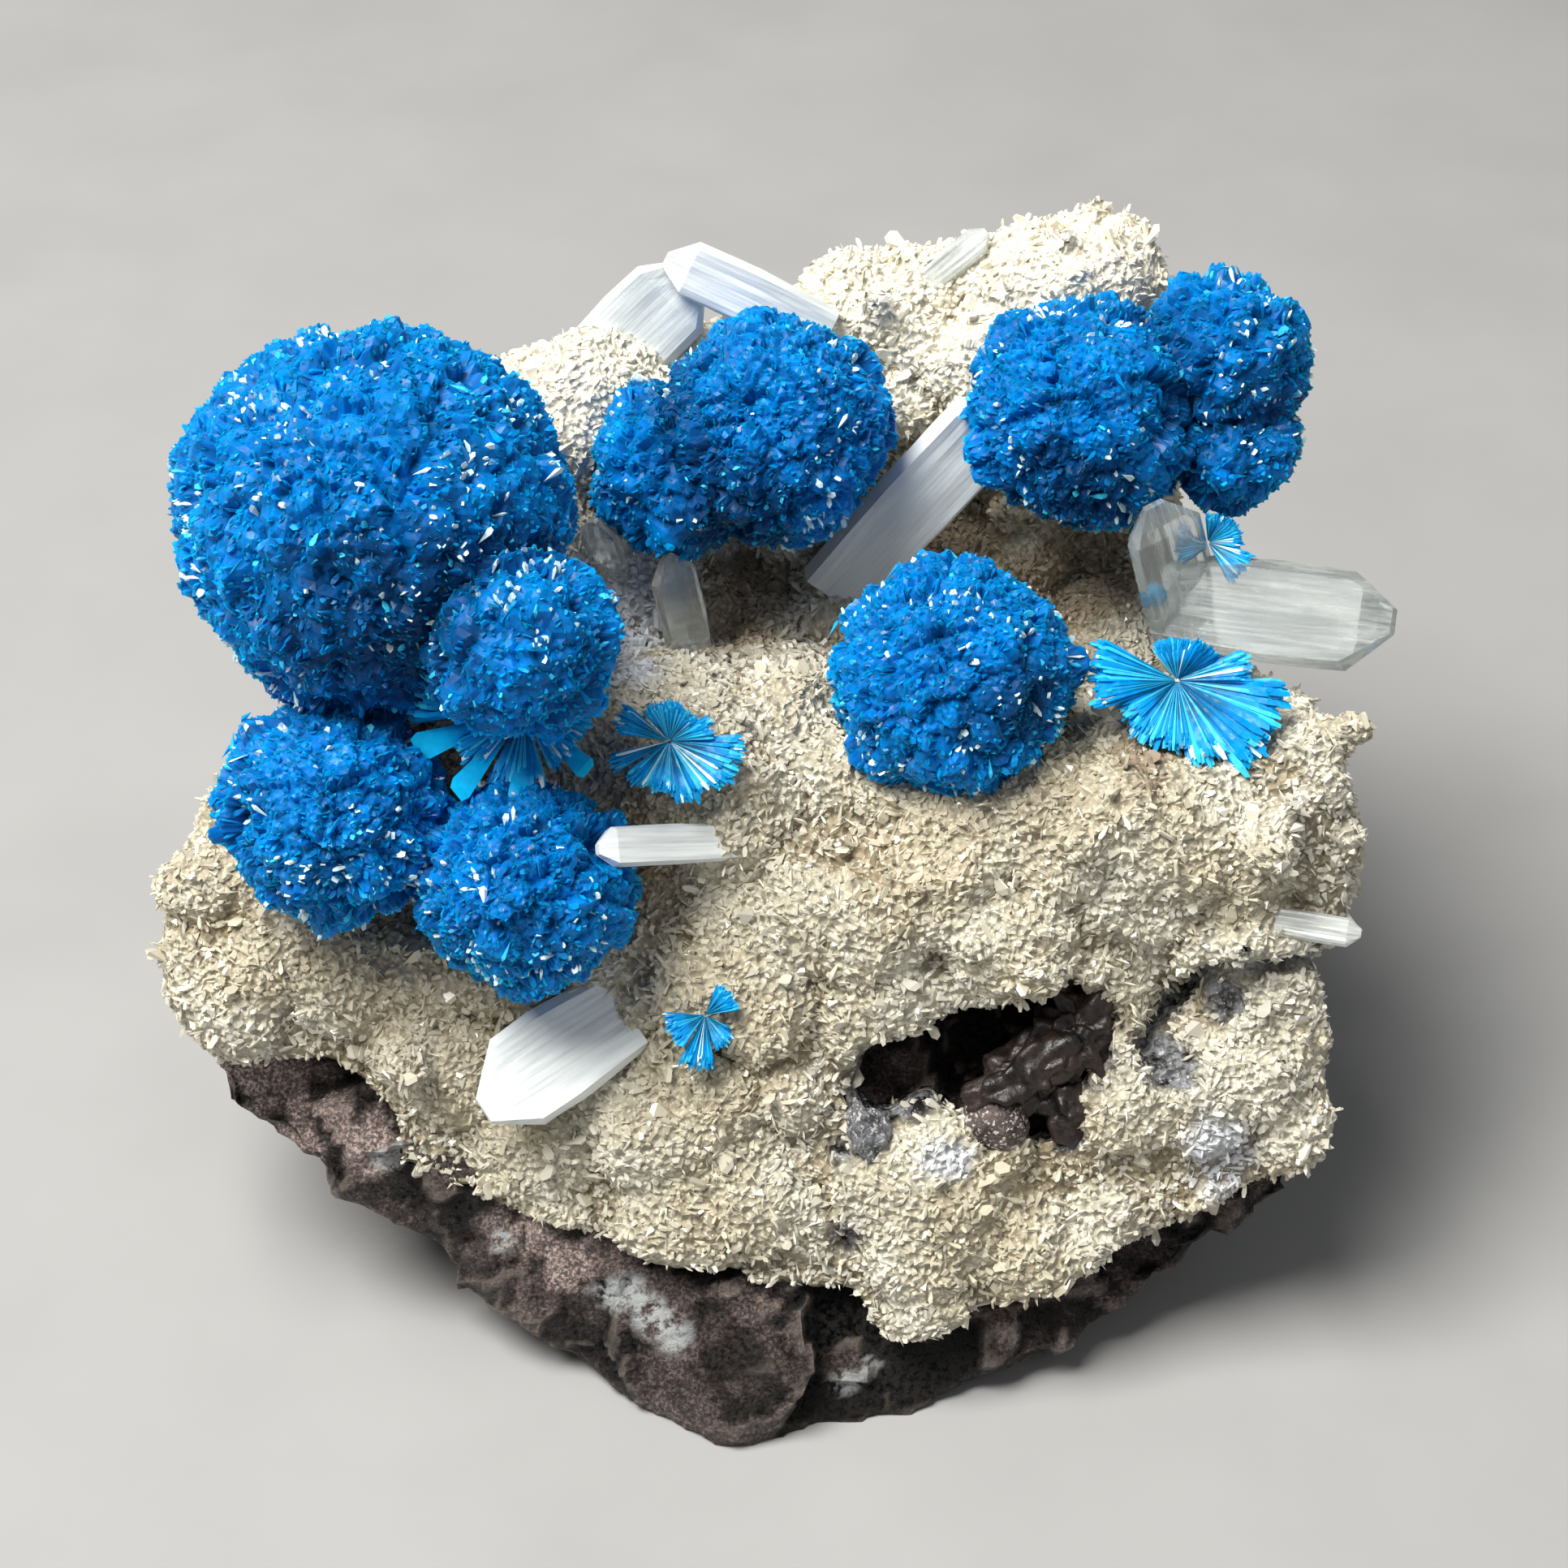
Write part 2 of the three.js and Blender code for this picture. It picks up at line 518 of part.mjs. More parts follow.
// Open rosettes: a centre, and fans as [direction in the face, lift out of it, turn about the
// fan's own middle, spread, reach], angles in degrees.
const ROSETTES = {
  cavansite_rosette_right: {
    centre: [19.4, 5.1, 2.6],
    thick: 1.1,
    fans: [
      [176, 8, 20, 50, 4.8], [95, 16, -10, 62, 2.4], [48, 14, 30, 40, 2.6], [12, 10, -18, 24, 4],
      [-14, 10, -10, 28, 5.9], [-42, 16, 10, 32, 6.1], [-70, 16, 10, 28, 5], [-108, 16, 10, 52, 4],
      [-150, 12, 10, 34, 3.6], [-90, -60, 0, 60, 5],
    ],
  },
  cavansite_rosette_small: {
    centre: [-5.6, 2.1, 4.4],
    thick: 0.8,
    fans: [
      [202, 6, -14, 16, 3.4], [155, 12, 20, 30, 3.1], [118, 14, 0, 30, 2.2], [84, 14, 0, 32, 2.2],
      [50, 14, 20, 34, 2], [18, 12, -10, 28, 2.5], [-10, 8, -14, 24, 4.1], [-34, 10, -10, 22, 4],
      [-64, 12, 10, 34, 3.5], [-100, 14, 0, 30, 2.9], [-130, 12, -24, 28, 3], [-90, -75, 0, 60, 3],
    ],
  },
  cavansite_sprig: {
    centre: [-3.9, -11.4, 2.6],
    thick: 0.8,
    fans: [
      [38, 12, 0, 56, 1.9], [204, 14, 16, 58, 2.2], [-98, 10, -10, 36, 2.9], [-55, 10, 0, 34, 2],
      [-60, -20, 0, 60, 1.7],
    ],
  },
  cavansite_chip_back: {
    centre: [21.4, 12.2, -1.4],
    thick: 1,
    fans: [[-38, 10, 0, 44, 2.6], [16, 14, 10, 60, 1.9], [70, 20, 20, 50, 1.7], [180, -10, 0, 60, 2]],
  },
};

// The spray below the left cluster's smaller ball, and the two rods that stand out to its left.
const SPRAY = {
  centre: [-12.6, 3.6, 5],
  thick: 1.1,
  fans: [
    [-96, 16, 10, 40, 4.2], [-140, 18, -20, 30, 4.4], [-46, 24, 20, 34, 3.8], [-14, 14, -10, 26, 3.7],
    [176, 24, 0, 14, 6.2], [150, 40, 10, 30, 4.6],
  ],
};

function rosette({ centre, thick, fans }, room) {
  const placed = fans.map(([heading, lift, turn, spread, reach]) => {
    const angles = [heading, lift, turn].map((degrees) => THREE.MathUtils.degToRad(degrees));
    const place = new THREE.Matrix4()
      .makeTranslation(...centre)
      .multiply(new THREE.Matrix4().makeRotationZ(angles[0]))
      .multiply(new THREE.Matrix4().makeRotationY(-angles[1]))
      .multiply(new THREE.Matrix4().makeRotationX(angles[2]));
    return solidOf(fan(reach + room, spread, thick + 2 * room).applyMatrix4(place));
  });
  const heart = new THREE.IcosahedronGeometry(thick, 0).translate(...centre);
  return joined([...placed, solidOf(heart)]);
}

// One ball or rosette, grown all round by the given room.
function cavansite(name, room) {
  if (ROSETTES[name]) return rosette(ROSETTES[name], room);
  const lobes = LOBES[name].map((lobe, i) => spinyBall(lobe, 11 + 5 * i + name.length, room));
  return joined(name === "cavansite_cluster_left" ? [...lobes, rosette(SPRAY, room)] : lobes);
}

// Colours and finishes.

const FINISHES = {
  basalt: { color: 0x4a3d38, roughness: 0.9, metalness: 0 },
  druse: { color: 0xd9cbb0, roughness: 0.45, metalness: 0 },
  stilbite: { color: 0xdfe4ea, roughness: 0.2, metalness: 0, transparent: true, opacity: 0.8 },
  cavansite: { color: 0x0a78c8, roughness: 0.25, metalness: 0 },
};

// Assembly. The blades and balls stand on the crust, and each ball leaves room for the blades and
// for the balls placed before it.

const face = new THREE.Group();

function place(name, solid, finish) {
  const mesh = new THREE.Mesh(geometryOf(solid), new THREE.MeshStandardMaterial(FINISHES[finish]));
  mesh.name = name;
  face.add(mesh);
}

const wedge = basalt();

function rockUpTo(gap) {
  const grown = wedge.clone().scale(1 + gap / HALF_WIDTH, 1 + gap / HALF_WIDTH, 1);
  const under = between((u, v) => rockTop(u, v) + gap, () => BEHIND, ROCK_STEP);
  return solidOf(grown).intersect(under);
}

place("basalt_matrix", rockUpTo(0).subtract(belowTable()), "basalt");
place("stilbite_crust", crust(rockUpTo(GAP), crustCrystals()), "druse");

// What the crust and the rock under it take up, and a gap over them.
const growth = 1 + GAP / HALF_WIDTH;
const grownEdge = CRUST_OUTLINE.map(([u, v]) => [u * growth, v * growth]);
const filled = between((u, v) => crustTop(u, v) + GAP, () => BEHIND, CRUST_STEP);
const seat = filled.intersect(prism(grownEdge));

const bladesOf = (shapes, room) => joined(shapes.map((shape) => solidOf(blade(shape, room))));
for (const [name, shapes] of Object.entries(BLADES)) {
  place(name, bladesOf(shapes, 0).subtract(seat), "stilbite");
}

let taken = seat.add(bladesOf(Object.values(BLADES).flat(), GAP));
for (const name of [...Object.keys(LOBES), ...Object.keys(ROSETTES)]) {
  place(name, cavansite(name, 0).subtract(taken), "cavansite");
  taken = taken.add(cavansite(name, GAP));
}

face.rotation.x = FACE_LEAN;
const specimen = new THREE.Group();
specimen.add(face);

// The origin: on the table, under the middle of the whole specimen.
const extent = new THREE.Box3().setFromObject(specimen, true);
const middle = extent.getCenter(new THREE.Vector3());
face.position.set(-middle.x, -middle.y, FACE_HEIGHT);

export default specimen;
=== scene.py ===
"""The looks of the cavansite specimen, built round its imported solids.

Lengths are in millimetres in the frame of the leaning, crystal-covered face (u to the right, v up
the face, n out of it), as everything grew on that face, and turn into metres when a mesh is made.
"""

import math

import bmesh
import bpy
import numpy as np
from mathutils import Matrix, Vector
from mathutils.bvhtree import BVHTree
from mathutils.kdtree import KDTree


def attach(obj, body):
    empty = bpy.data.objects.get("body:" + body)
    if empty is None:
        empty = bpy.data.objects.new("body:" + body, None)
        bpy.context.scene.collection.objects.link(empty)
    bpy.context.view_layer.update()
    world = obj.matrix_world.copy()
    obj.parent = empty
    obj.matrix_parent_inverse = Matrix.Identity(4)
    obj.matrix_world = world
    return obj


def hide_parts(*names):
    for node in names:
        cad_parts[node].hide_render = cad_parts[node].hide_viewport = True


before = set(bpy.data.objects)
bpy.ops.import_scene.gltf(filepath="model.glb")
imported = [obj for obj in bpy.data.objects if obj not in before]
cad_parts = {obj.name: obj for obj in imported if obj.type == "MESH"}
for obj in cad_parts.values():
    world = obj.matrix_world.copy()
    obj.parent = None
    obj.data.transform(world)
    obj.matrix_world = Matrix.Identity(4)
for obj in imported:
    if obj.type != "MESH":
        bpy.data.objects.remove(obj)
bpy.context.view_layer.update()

MM = 0.001

# The face: its lean against the table, and where its frame's origin is in the row frame.
FACE_LEAN = math.radians(52)
FACE_ORIGIN = np.array([0.51, -8.83, 27.0])
RIGHT = np.array([1.0, 0.0, 0.0])
UP = np.array([0.0, math.cos(FACE_LEAN), math.sin(FACE_LEAN)])
OUT = np.array([0.0, -math.sin(FACE_LEAN), math.cos(FACE_LEAN)])
AXES = np.array([RIGHT, UP, OUT])

# The camera looks straight at the face from this far, at the photograph's angle of view.
CAMERA_DISTANCE = 170.0
CAMERA_LENS = 77.9
SENSOR = 36.0


def to_row(points):
    """Face millimetres to row-frame metres."""
    return (np.asarray(points, float) @ AXES + FACE_ORIGIN) * MM


def to_face(points):
    """Row-frame metres to face millimetres."""
    return (np.asarray(points, float) / MM - FACE_ORIGIN) @ AXES.T


def unit(vectors):
    return vectors / np.linalg.norm(vectors, axis=-1, keepdims=True)


def add_camera():
    camera = bpy.data.cameras.new("camera")
    camera.lens = CAMERA_LENS
    camera.sensor_width = SENSOR
    camera.clip_start = 0.01
    camera.clip_end = 10
    holder = bpy.data.objects.new("camera", camera)
    turn = Matrix(AXES.T).to_4x4()
    holder.matrix_world = Matrix.Translation(to_row([0, 0, CAMERA_DISTANCE])) @ turn
    bpy.context.collection.objects.link(holder)
    bpy.context.scene.camera = holder


# Meshes from arrays.


def new_object(name, points, faces, material, floats=None, smooth=False):
    """A mesh object from points in face millimetres and a list of face arrays, each of one corner
    count. floats are named values, one per point, which the materials read."""
    mesh = bpy.data.meshes.new(name)
    corners = np.concatenate([f.ravel() for f in faces]).astype(np.int32)
    counts = np.concatenate([np.full(len(f), f.shape[1]) for f in faces])
    mesh.vertices.add(len(points))
    mesh.vertices.foreach_set("co", to_row(points).astype(np.float32).ravel())
    mesh.loops.add(len(corners))
    mesh.loops.foreach_set("vertex_index", corners)
    mesh.polygons.add(len(counts))
    mesh.polygons.foreach_set("loop_start", (np.cumsum(counts) - counts).astype(np.int32))
    mesh.polygons.foreach_set("use_smooth", np.full(len(counts), smooth))
    for label, values in (floats or {}).items():
        layer = mesh.attributes.new(label, "FLOAT", "POINT")
        layer.data.foreach_set("value", np.asarray(values, np.float32))
    mesh.update(calc_edges=True)
    mesh.materials.append(material)
    made = bpy.data.objects.new(name, mesh)
    bpy.context.collection.objects.link(made)
    return made


def dress(piece, slot, *nodes):
    """The piece rides on the specimen and stands for the nodes, which are hidden; the slot is not used."""
    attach(piece, "root")
    if nodes:
        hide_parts(*nodes)


def face_arrays(mesh):
    """(points, normals, triangles) of a mesh, in the face's frame."""
    points = np.empty(3 * len(mesh.vertices))
    mesh.vertices.foreach_get("co", points)
    normals = np.empty(3 * len(mesh.vertices))
    mesh.vertex_normals.foreach_get("vector", normals)
    mesh.calc_loop_triangles()
    triangles = np.empty(3 * len(mesh.loop_triangles), np.int32)
    mesh.loop_triangles.foreach_get("vertices", triangles)
    return to_face(points.reshape(-1, 3)), normals.reshape(-1, 3) @ AXES.T, triangles.reshape(-1, 3)


def remeshed(node, voxel, smoothing):
    """A fine even copy of a node's mesh, with its facets rounded off."""
    copy = bpy.data.objects.new("copy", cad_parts[node].data.copy())
    bpy.context.collection.objects.link(copy)
    remesh = copy.modifiers.new("remesh", "REMESH")
    remesh.mode = "VOXEL"
    remesh.voxel_size = voxel * MM
    smooth = copy.modifiers.new("smooth", "SMOOTH")
    smooth.iterations = smoothing
    evaluated = copy.evaluated_get(bpy.context.evaluated_depsgraph_get())
    mesh = bpy.data.meshes.new_from_object(evaluated)
    bpy.data.objects.remove(copy)
    return mesh


def quads_of(mesh):
    corners = np.empty(len(mesh.loops), np.int32)
    mesh.loops.foreach_get("vertex_index", corners)
    return corners.reshape(-1, 4)


def round_mesh(subdivisions):
    """(unit directions, triangles) of an even round mesh."""
    shape = bmesh.new()
    bmesh.ops.create_icosphere(shape, subdivisions=subdivisions, radius=1)
    directions = np.array([vertex.co for vertex in shape.verts])
    triangles = np.array([[vertex.index for vertex in face.verts] for face in shape.faces])
    shape.free()
    return unit(directions), triangles


# Noise.


def lattice(cells, seed):
    """A number from 0 to 1 for each whole-number cell, evenly spread and always the same."""
    mixed = cells[:, 0] * 73856093 ^ cells[:, 1] * 19349663 ^ cells[:, 2] * 83492791 ^ seed * 2654435761
    mixed = (mixed ^ (mixed >> 13)) * 1274126177
    mixed = (mixed ^ (mixed >> 16)) * 2246822519
    return ((mixed >> 8) & 0xFFFFFF) / 0xFFFFFF


def noise(points, size, seed):
    """Smooth noise from -1 to 1, with lumps about size across."""
    cell = np.asarray(points) / size
    corner = np.floor(cell).astype(np.int64)
    part = cell - corner
    part = part * part * (3 - 2 * part)
    total = 0
    for step in np.ndindex(2, 2, 2):
        weight = np.prod(np.where(step, part, 1 - part), axis=1)
        total = total + weight * lattice(corner + np.array(step), seed)
    return 2 * total - 1


def fractal(points, size, seed, octaves=3):
    return sum(noise(points, size / 2**k, seed + k) / 2**k for k in range(octaves))


def plates(points, spacing, rng):
    """(height, tilt) from about -1 to 1 for each point, of the flat plate that it is in. The plates
    are spacing apart and meet in sharp steps."""
    low, high = points.min(axis=0), points.max(axis=0)
    count = int(np.prod((high - low) / spacing))
    seeds = rng.uniform(low, high, (count, 3))
    tree = KDTree(count)
    for k, seed in enumerate(seeds):
        tree.insert(seed, k)
    tree.balance()
    nearest = np.array([tree.find(point)[1] for point in points])
    slope = rng.normal(0, 1, (count, 3))[nearest]
    tilt = np.sum(slope * (points - seeds[nearest]), axis=1) / spacing
    return rng.uniform(-1, 1, count)[nearest], tilt


PATCH_RAGGED = 0.35  # how far a patch's edge wanders, over its radius
PATCH_SHARP = 2.4  # how fast it falls off at its edge


def patches(points, table):
    """1 in the patches of a table of (u, v, radius), 0 well outside them."""
    total = np.zeros(len(points))
    ragged = PATCH_RAGGED * fractal(points, 1.6, 61)
    for u, v, radius in table:
        away = np.hypot(points[:, 0] - u, points[:, 1] - v) / radius
        total = np.maximum(total, np.clip(PATCH_SHARP * (1.0 + ragged - away), 0, 1))
    return total


# Materials.


class Nodes:
    """A node material in the making. Its methods add a node and return the output to link."""

    def __init__(self, name):
        self.material = bpy.data.materials.new(name)
        self.material.use_nodes = True
        self.tree = self.material.node_tree
        self.shader = self.tree.nodes["Principled BSDF"]

    def add(self, kind, inputs=(), **settings):
        node = self.tree.nodes.new(kind)
        for key, value in settings.items():
            setattr(node, key, value)
        for key, value in dict(inputs).items():
            self.put(node.inputs[key], value)
        return node

    def put(self, socket, value):
        if isinstance(value, bpy.types.NodeSocket):
            self.tree.links.new(value, socket)
        else:
            socket.default_value = value

    def set(self, **inputs):
        for key, value in inputs.items():
            self.put(self.shader.inputs[key.replace("_", " ")], value)

    def value(self, label):
        return self.add("ShaderNodeAttribute", attribute_name=label).outputs["Fac"]

    def noise(self, scale, detail=3.0, roughness=0.55, place=None):
        place = place or self.add("ShaderNodeTexCoord").outputs["Object"]
        inputs = {"Vector": place, "Scale": scale, "Detail": detail, "Roughness": roughness}
        return self.add("ShaderNodeTexNoise", inputs).outputs["Fac"]

    def cells(self, scale, output="Distance"):
        inputs = {"Vector": self.add("ShaderNodeTexCoord").outputs["Object"], "Scale": scale}
        return self.add("ShaderNodeTexVoronoi", inputs).outputs[output]

    def ramp(self, factor, stops):
        node = self.add("ShaderNodeValToRGB", {"Fac": factor})
        elements = node.color_ramp.elements
        while len(elements) < len(stops):
            elements.new(0.5)
        for element, (at, colour) in zip(elements, stops):
            element.position = at
            element.color = (*colour, 1)
        return node.outputs["Color"]

    def math(self, operation, a, b=0.0):
        node = self.add("ShaderNodeMath", operation=operation)
        self.put(node.inputs[0], a)
        self.put(node.inputs[1], b)
        return node.outputs[0]

    def mix(self, factor, a, b, blend="MIX"):
        node = self.add("ShaderNodeMix", data_type="RGBA", blend_type=blend)
        self.put(node.inputs[0], factor)
        self.put(node.inputs[6], a)
        self.put(node.inputs[7], b)
        return node.outputs[2]

    def bump(self, height, strength, distance):
        inputs = {"Height": height, "Strength": strength, "Distance": distance}
        self.set(Normal=self.add("ShaderNodeBump", inputs).outputs["Normal"])


def grey(level):
    return (level, level, level)


def basalt_material():
    """Purple-brown to charcoal plates of fine grains, the brightest of which are painted glints, with
    painted tan highlights on sharp edges and in patches of painted light, painted shade in the creases,
    and spots of white crystals."""
    m = Nodes("basalt")
    uneven = m.math("MULTIPLY", m.noise(300, 4, 0.65), 0.6)
    plate = m.math("ADD", uneven, m.math("MULTIPLY", m.value("plate"), 0.4))
    tones = [(0.4, (0.005, 0.004, 0.004)), (0.5, (0.028, 0.02, 0.018)), (0.66, (0.14, 0.105, 0.098))]
    # Random tone of the grains, the brightest of which are painted glints.
    grain = m.ramp(m.noise(5000, 3, 0.7), [(0.36, grey(0.35)), (0.5, grey(0.9)), (0.6, grey(2.4))])
    colour = m.mix(1.0, m.ramp(plate, tones), grain, "MULTIPLY")
    # Painted light: tan, in the patches of painted light.
    painted_light = m.mix(1.0, grain, (0.5, 0.39, 0.36, 1), "MULTIPLY")
    colour = m.mix(m.math("MULTIPLY", m.value("painted_light"), 0.85), colour, painted_light)
    # Painted highlight: tan on the sharp edges.
    painted_edge_highlight = m.ramp(m.value("edge"), [(0.65, grey(0)), (1.0, grey(0.35))])
    colour = m.mix(painted_edge_highlight, colour, (0.5, 0.42, 0.36, 1))
    # Painted shade: darker in the creases.
    painted_crease_shade = m.ramp(m.value("edge"), [(0.1, grey(0.15)), (0.45, grey(1))])
    colour = m.mix(1.0, colour, painted_crease_shade, "MULTIPLY")
    spots = m.ramp(m.noise(1300, 4, 0.7), [(0.42, grey(0)), (0.54, grey(1))])
    colour = m.mix(m.math("MULTIPLY", m.value("spot"), spots), colour, (0.74, 0.77, 0.78, 1))

    m.set(Base_Color=colour, Roughness=m.ramp(m.noise(3000, 2), [(0.4, grey(0.2)), (0.6, grey(0.8))]))
    m.bump(m.noise(650, 9, 0.74), 1.0, 0.0013)
    return m.material


def dusted_rock(name, dark, light):
    """Rough rock of two tones, dusted with light glassy grains that also stand for painted glints."""
    m = Nodes(name)
    colour = m.ramp(m.noise(700, 5, 0.75), [(0.36, dark), (0.62, light)])
    # Light grains, partly painted glints.
    grains = m.ramp(m.cells(8000, "Color"), [(0.72, grey(0)), (0.76, grey(0.7))])
    colour = m.mix(grains, colour, (0.7, 0.66, 0.64, 1))
    m.set(Base_Color=colour, Roughness=m.ramp(m.noise(2000, 2), [(0.4, grey(0.2)), (0.6, grey(0.7))]))
    m.bump(m.noise(3600, 3, 0.7), 0.8, 0.0003)
    return m.material


def dark_glaze_material():
    """The boss in the pit: nearly black brown, with a dull gloss."""
    m = Nodes("dark_glaze")
    colour = m.ramp(m.noise(700, 4, 0.7), [(0.42, (0.008, 0.006, 0.006)), (0.66, (0.05, 0.03, 0.025))])
    m.set(Base_Color=colour, Roughness=m.ramp(m.noise(900, 3), [(0.35, grey(0.3)), (0.65, grey(0.5))]))
    m.bump(m.noise(1500, 4, 0.65), 0.4, 0.0003)
    return m.material


def druse_body_material():
    """What shows between the crust's crystals: cream, paler towards the crest as painted light, brown in
    the patches of stain and painted shade, and painted shade where it lies deep.
    """
    m = Nodes("druse_body")
    colour = m.ramp(m.noise(130, 3), [(0.4, (0.57, 0.5, 0.36)), (0.58, (0.68, 0.65, 0.52))])
    # Painted light: paler towards the crest.
    colour = m.mix(m.value("crest"), colour, (0.94, 0.89, 0.73, 1))
    colour = m.mix(m.value("cool"), colour, (0.7, 0.72, 0.74, 1))
    # Painted shade: brown where the body lies deep, and in the patches of stain and painted shade.
    colour = m.mix(m.value("deep"), colour, (0.32, 0.25, 0.15, 1))
    rock = m.ramp(m.noise(900, 4, 0.75), [(0.42, (0.015, 0.013, 0.013)), (0.6, (0.34, 0.35, 0.37))])
    colour = m.mix(m.value("bare"), colour, rock)
    grain = m.ramp(m.cells(3000, "Color"), [(0.2, grey(0.8)), (0.8, grey(1.1))])
    m.set(Base_Color=m.mix(1.0, colour, grain, "MULTIPLY"), Roughness=0.25)
    m.bump(m.math("ADD", m.cells(2400), m.cells(1300)), 0.9, 0.0005)
    return m.material


def druse_crystal_material():
    """Tiny glossy blades, near white to cream, paler towards the crest as painted light, and brown in the
    patches of stain and painted shade.
    """
    m = Nodes("druse_crystals")
    colour = m.ramp(m.noise(130, 3), [(0.4, (0.62, 0.57, 0.44)), (0.58, (0.71, 0.68, 0.59))])
    # Painted light: paler towards the crest.
    colour = m.mix(m.value("crest"), colour, (0.95, 0.9, 0.75, 1))
    colour = m.mix(m.value("cool"), colour, (0.74, 0.76, 0.79, 1))
    # Brown in the patches of stain and painted shade.
    colour = m.mix(m.value("stain_and_shade"), colour, (0.38, 0.31, 0.23, 1))
    m.set(Base_Color=colour, Roughness=0.16, IOR=1.5)
    return m.material


def stilbite_material():
    """Clear to milky, with fine streaks that run along the blade."""
    m = Nodes("stilbite")
    place = {"X": m.value("along"), "Y": m.value("across"), "Z": m.value("shade")}
    streaks = m.noise(1.0, 3, 0.6, m.add("ShaderNodeCombineXYZ", place).outputs[0])
    cloud = m.noise(260, 3)
    uneven = m.math("MULTIPLY", m.math("ADD", streaks, cloud), 0.5)
    milk = m.math("ADD", m.value("milk"), m.math("SUBTRACT", uneven, 0.5))
    m.set(
        Base_Color=m.ramp(streaks, [(0.35, (0.86, 0.92, 0.93)), (0.65, (0.96, 1.0, 0.98))]),
        Roughness=m.ramp(milk, [(0.3, grey(0.12)), (0.9, grey(0.5))]),
        IOR=1.5,
        Transmission_Weight=m.ramp(milk, [(0.2, grey(0.9)), (0.95, grey(0))]),
    )
    m.bump(streaks, 0.15, 0.0002)
    return m.material


def cavansite_material():
    """Azure that the light gets into, with light and shade painted in by the tip value: navy in the
    hollows, paler at the tips, with cyan flecks that are painted light through thin edges and a few
    white blades that are painted glints."""
    m = Nodes("cavansite")
    shade = m.value("shade")
    uneven = m.math("MULTIPLY", m.math("SUBTRACT", shade, 0.45), 0.1)
    colour = m.ramp(
        m.math("ADD", m.value("tip"), uneven),
        [
            (0.1, (0.0, 0.01, 0.04)), (0.34, (0.0, 0.06, 0.22)), (0.6, (0.0, 0.22, 0.7)),
            (0.84, (0.0, 0.38, 0.88)), (1.0, (0.0, 0.54, 0.9)),
        ],
    )
    # Painted light: the cyan flecks stand for light through thin blade edges.
    colour = m.mix(m.ramp(shade, [(0.91, grey(0)), (0.93, grey(0.65))]), colour, (0.06, 0.72, 0.97, 1))
    # Painted glints: the palest shade turns a blade near white.
    colour = m.mix(m.ramp(shade, [(0.97, grey(0)), (1.0, grey(0.95))]), colour, (0.8, 1.0, 1.0, 1))
    cloud = m.ramp(m.noise(900, 4, 0.7), [(0.35, grey(0.82)), (0.65, grey(1.12))])
    soft = m.ramp(m.value("tip"), [(0.66, grey(0.75)), (0.7, grey(0.15))])
    plain = m.ramp(shade, [(0.91, grey(1)), (0.93, grey(0))])
    m.set(
        Base_Color=m.mix(1.0, colour, cloud, "MULTIPLY"),
        Roughness=m.ramp(m.noise(2400, 1), [(0.4, grey(0.22)), (0.55, grey(0.55))]),
        IOR=1.54,
        Specular_IOR_Level=0.15,
        Subsurface_Weight=m.mix(1.0, soft, plain, "MULTIPLY"),
        Subsurface_Radius=(0.4, 0.9, 1.0),
        Subsurface_Scale=0.0006,
        Sheen_Weight=0.45,
        Sheen_Roughness=0.35,
        Sheen_Tint=(0.0, 0.6, 0.95, 1),
    )
    return m.material


def floor_material():
    m = Nodes("floor")
    m.set(Base_Color=m.ramp(m.noise(60, 3), [(0.3, grey(0.36)), (0.7, grey(0.39))]), Roughness=0.8)
    return m.material


# Wedges: thin blades that widen from a root point to a chisel end, many in one mesh. Each has the
# root, four corners at its shoulder and the two ends of its chisel edge.

WEDGE_QUADS = np.array([[1, 2, 6, 5], [3, 4, 5, 6]])
WEDGE_TRIANGLES = np.array([[0, 2, 1], [0, 3, 2], [0, 4, 3], [0, 1, 4], [4, 1, 5], [2, 3, 6]])
WEDGE_HEIGHTS = np.array([0, 0.85, 0.85, 0.85, 0.85, 1, 1])
WEDGE_POINTS = len(WEDGE_HEIGHTS)


def wedges(root, tip, across, width, thick, shoulder, slant, edge):
    """(points, quads, triangles) of one wedge per row. across is each one's wide direction. shoulder
    is where its end begins, over its length, slant how much further one corner of the end reaches
    and edge the chisel edge's length, both over its width."""
    count = len(root)
    width, thick, slant = width[:, None], thick[:, None], slant[:, None]
    span = tip - root
    axis = unit(span)
    across = unit(across - axis * np.sum(across * axis, axis=1, keepdims=True))
    flat = np.cross(axis, across)
    points = np.empty((count, WEDGE_POINTS, 3))
    points[:, 0] = root
    for k, (a, b) in enumerate([(1, 1), (-1, 1), (-1, -1), (1, -1)]):
        corner = a * (across + axis * slant) * width / 2 + b * flat * thick / 2
        points[:, 1 + k] = root + span * shoulder + corner
    half_edge = (across + axis * slant) * width * edge / 2
    points[:, 5] = tip + half_edge
    points[:, 6] = tip - half_edge
    first = WEDGE_POINTS * np.arange(count)[:, None, None]
    quads = (WEDGE_QUADS[None] + first).reshape(-1, 4)
    triangles = (WEDGE_TRIANGLES[None] + first).reshape(-1, 3)
    return points.reshape(-1, 3), quads, triangles


def joined(parts):
    """One (points, quads, triangles, values ...) from several."""
    first = np.cumsum([0] + [len(part[0]) for part in parts[:-1]])
    faces = [np.concatenate([part[k] + at for part, at in zip(parts, first)]) for k in (1, 2)]
    values = [np.concatenate([part[k] for part in parts]) for k in range(3, len(parts[0]))]
    return (np.concatenate([part[0] for part in parts]), *faces, *values)


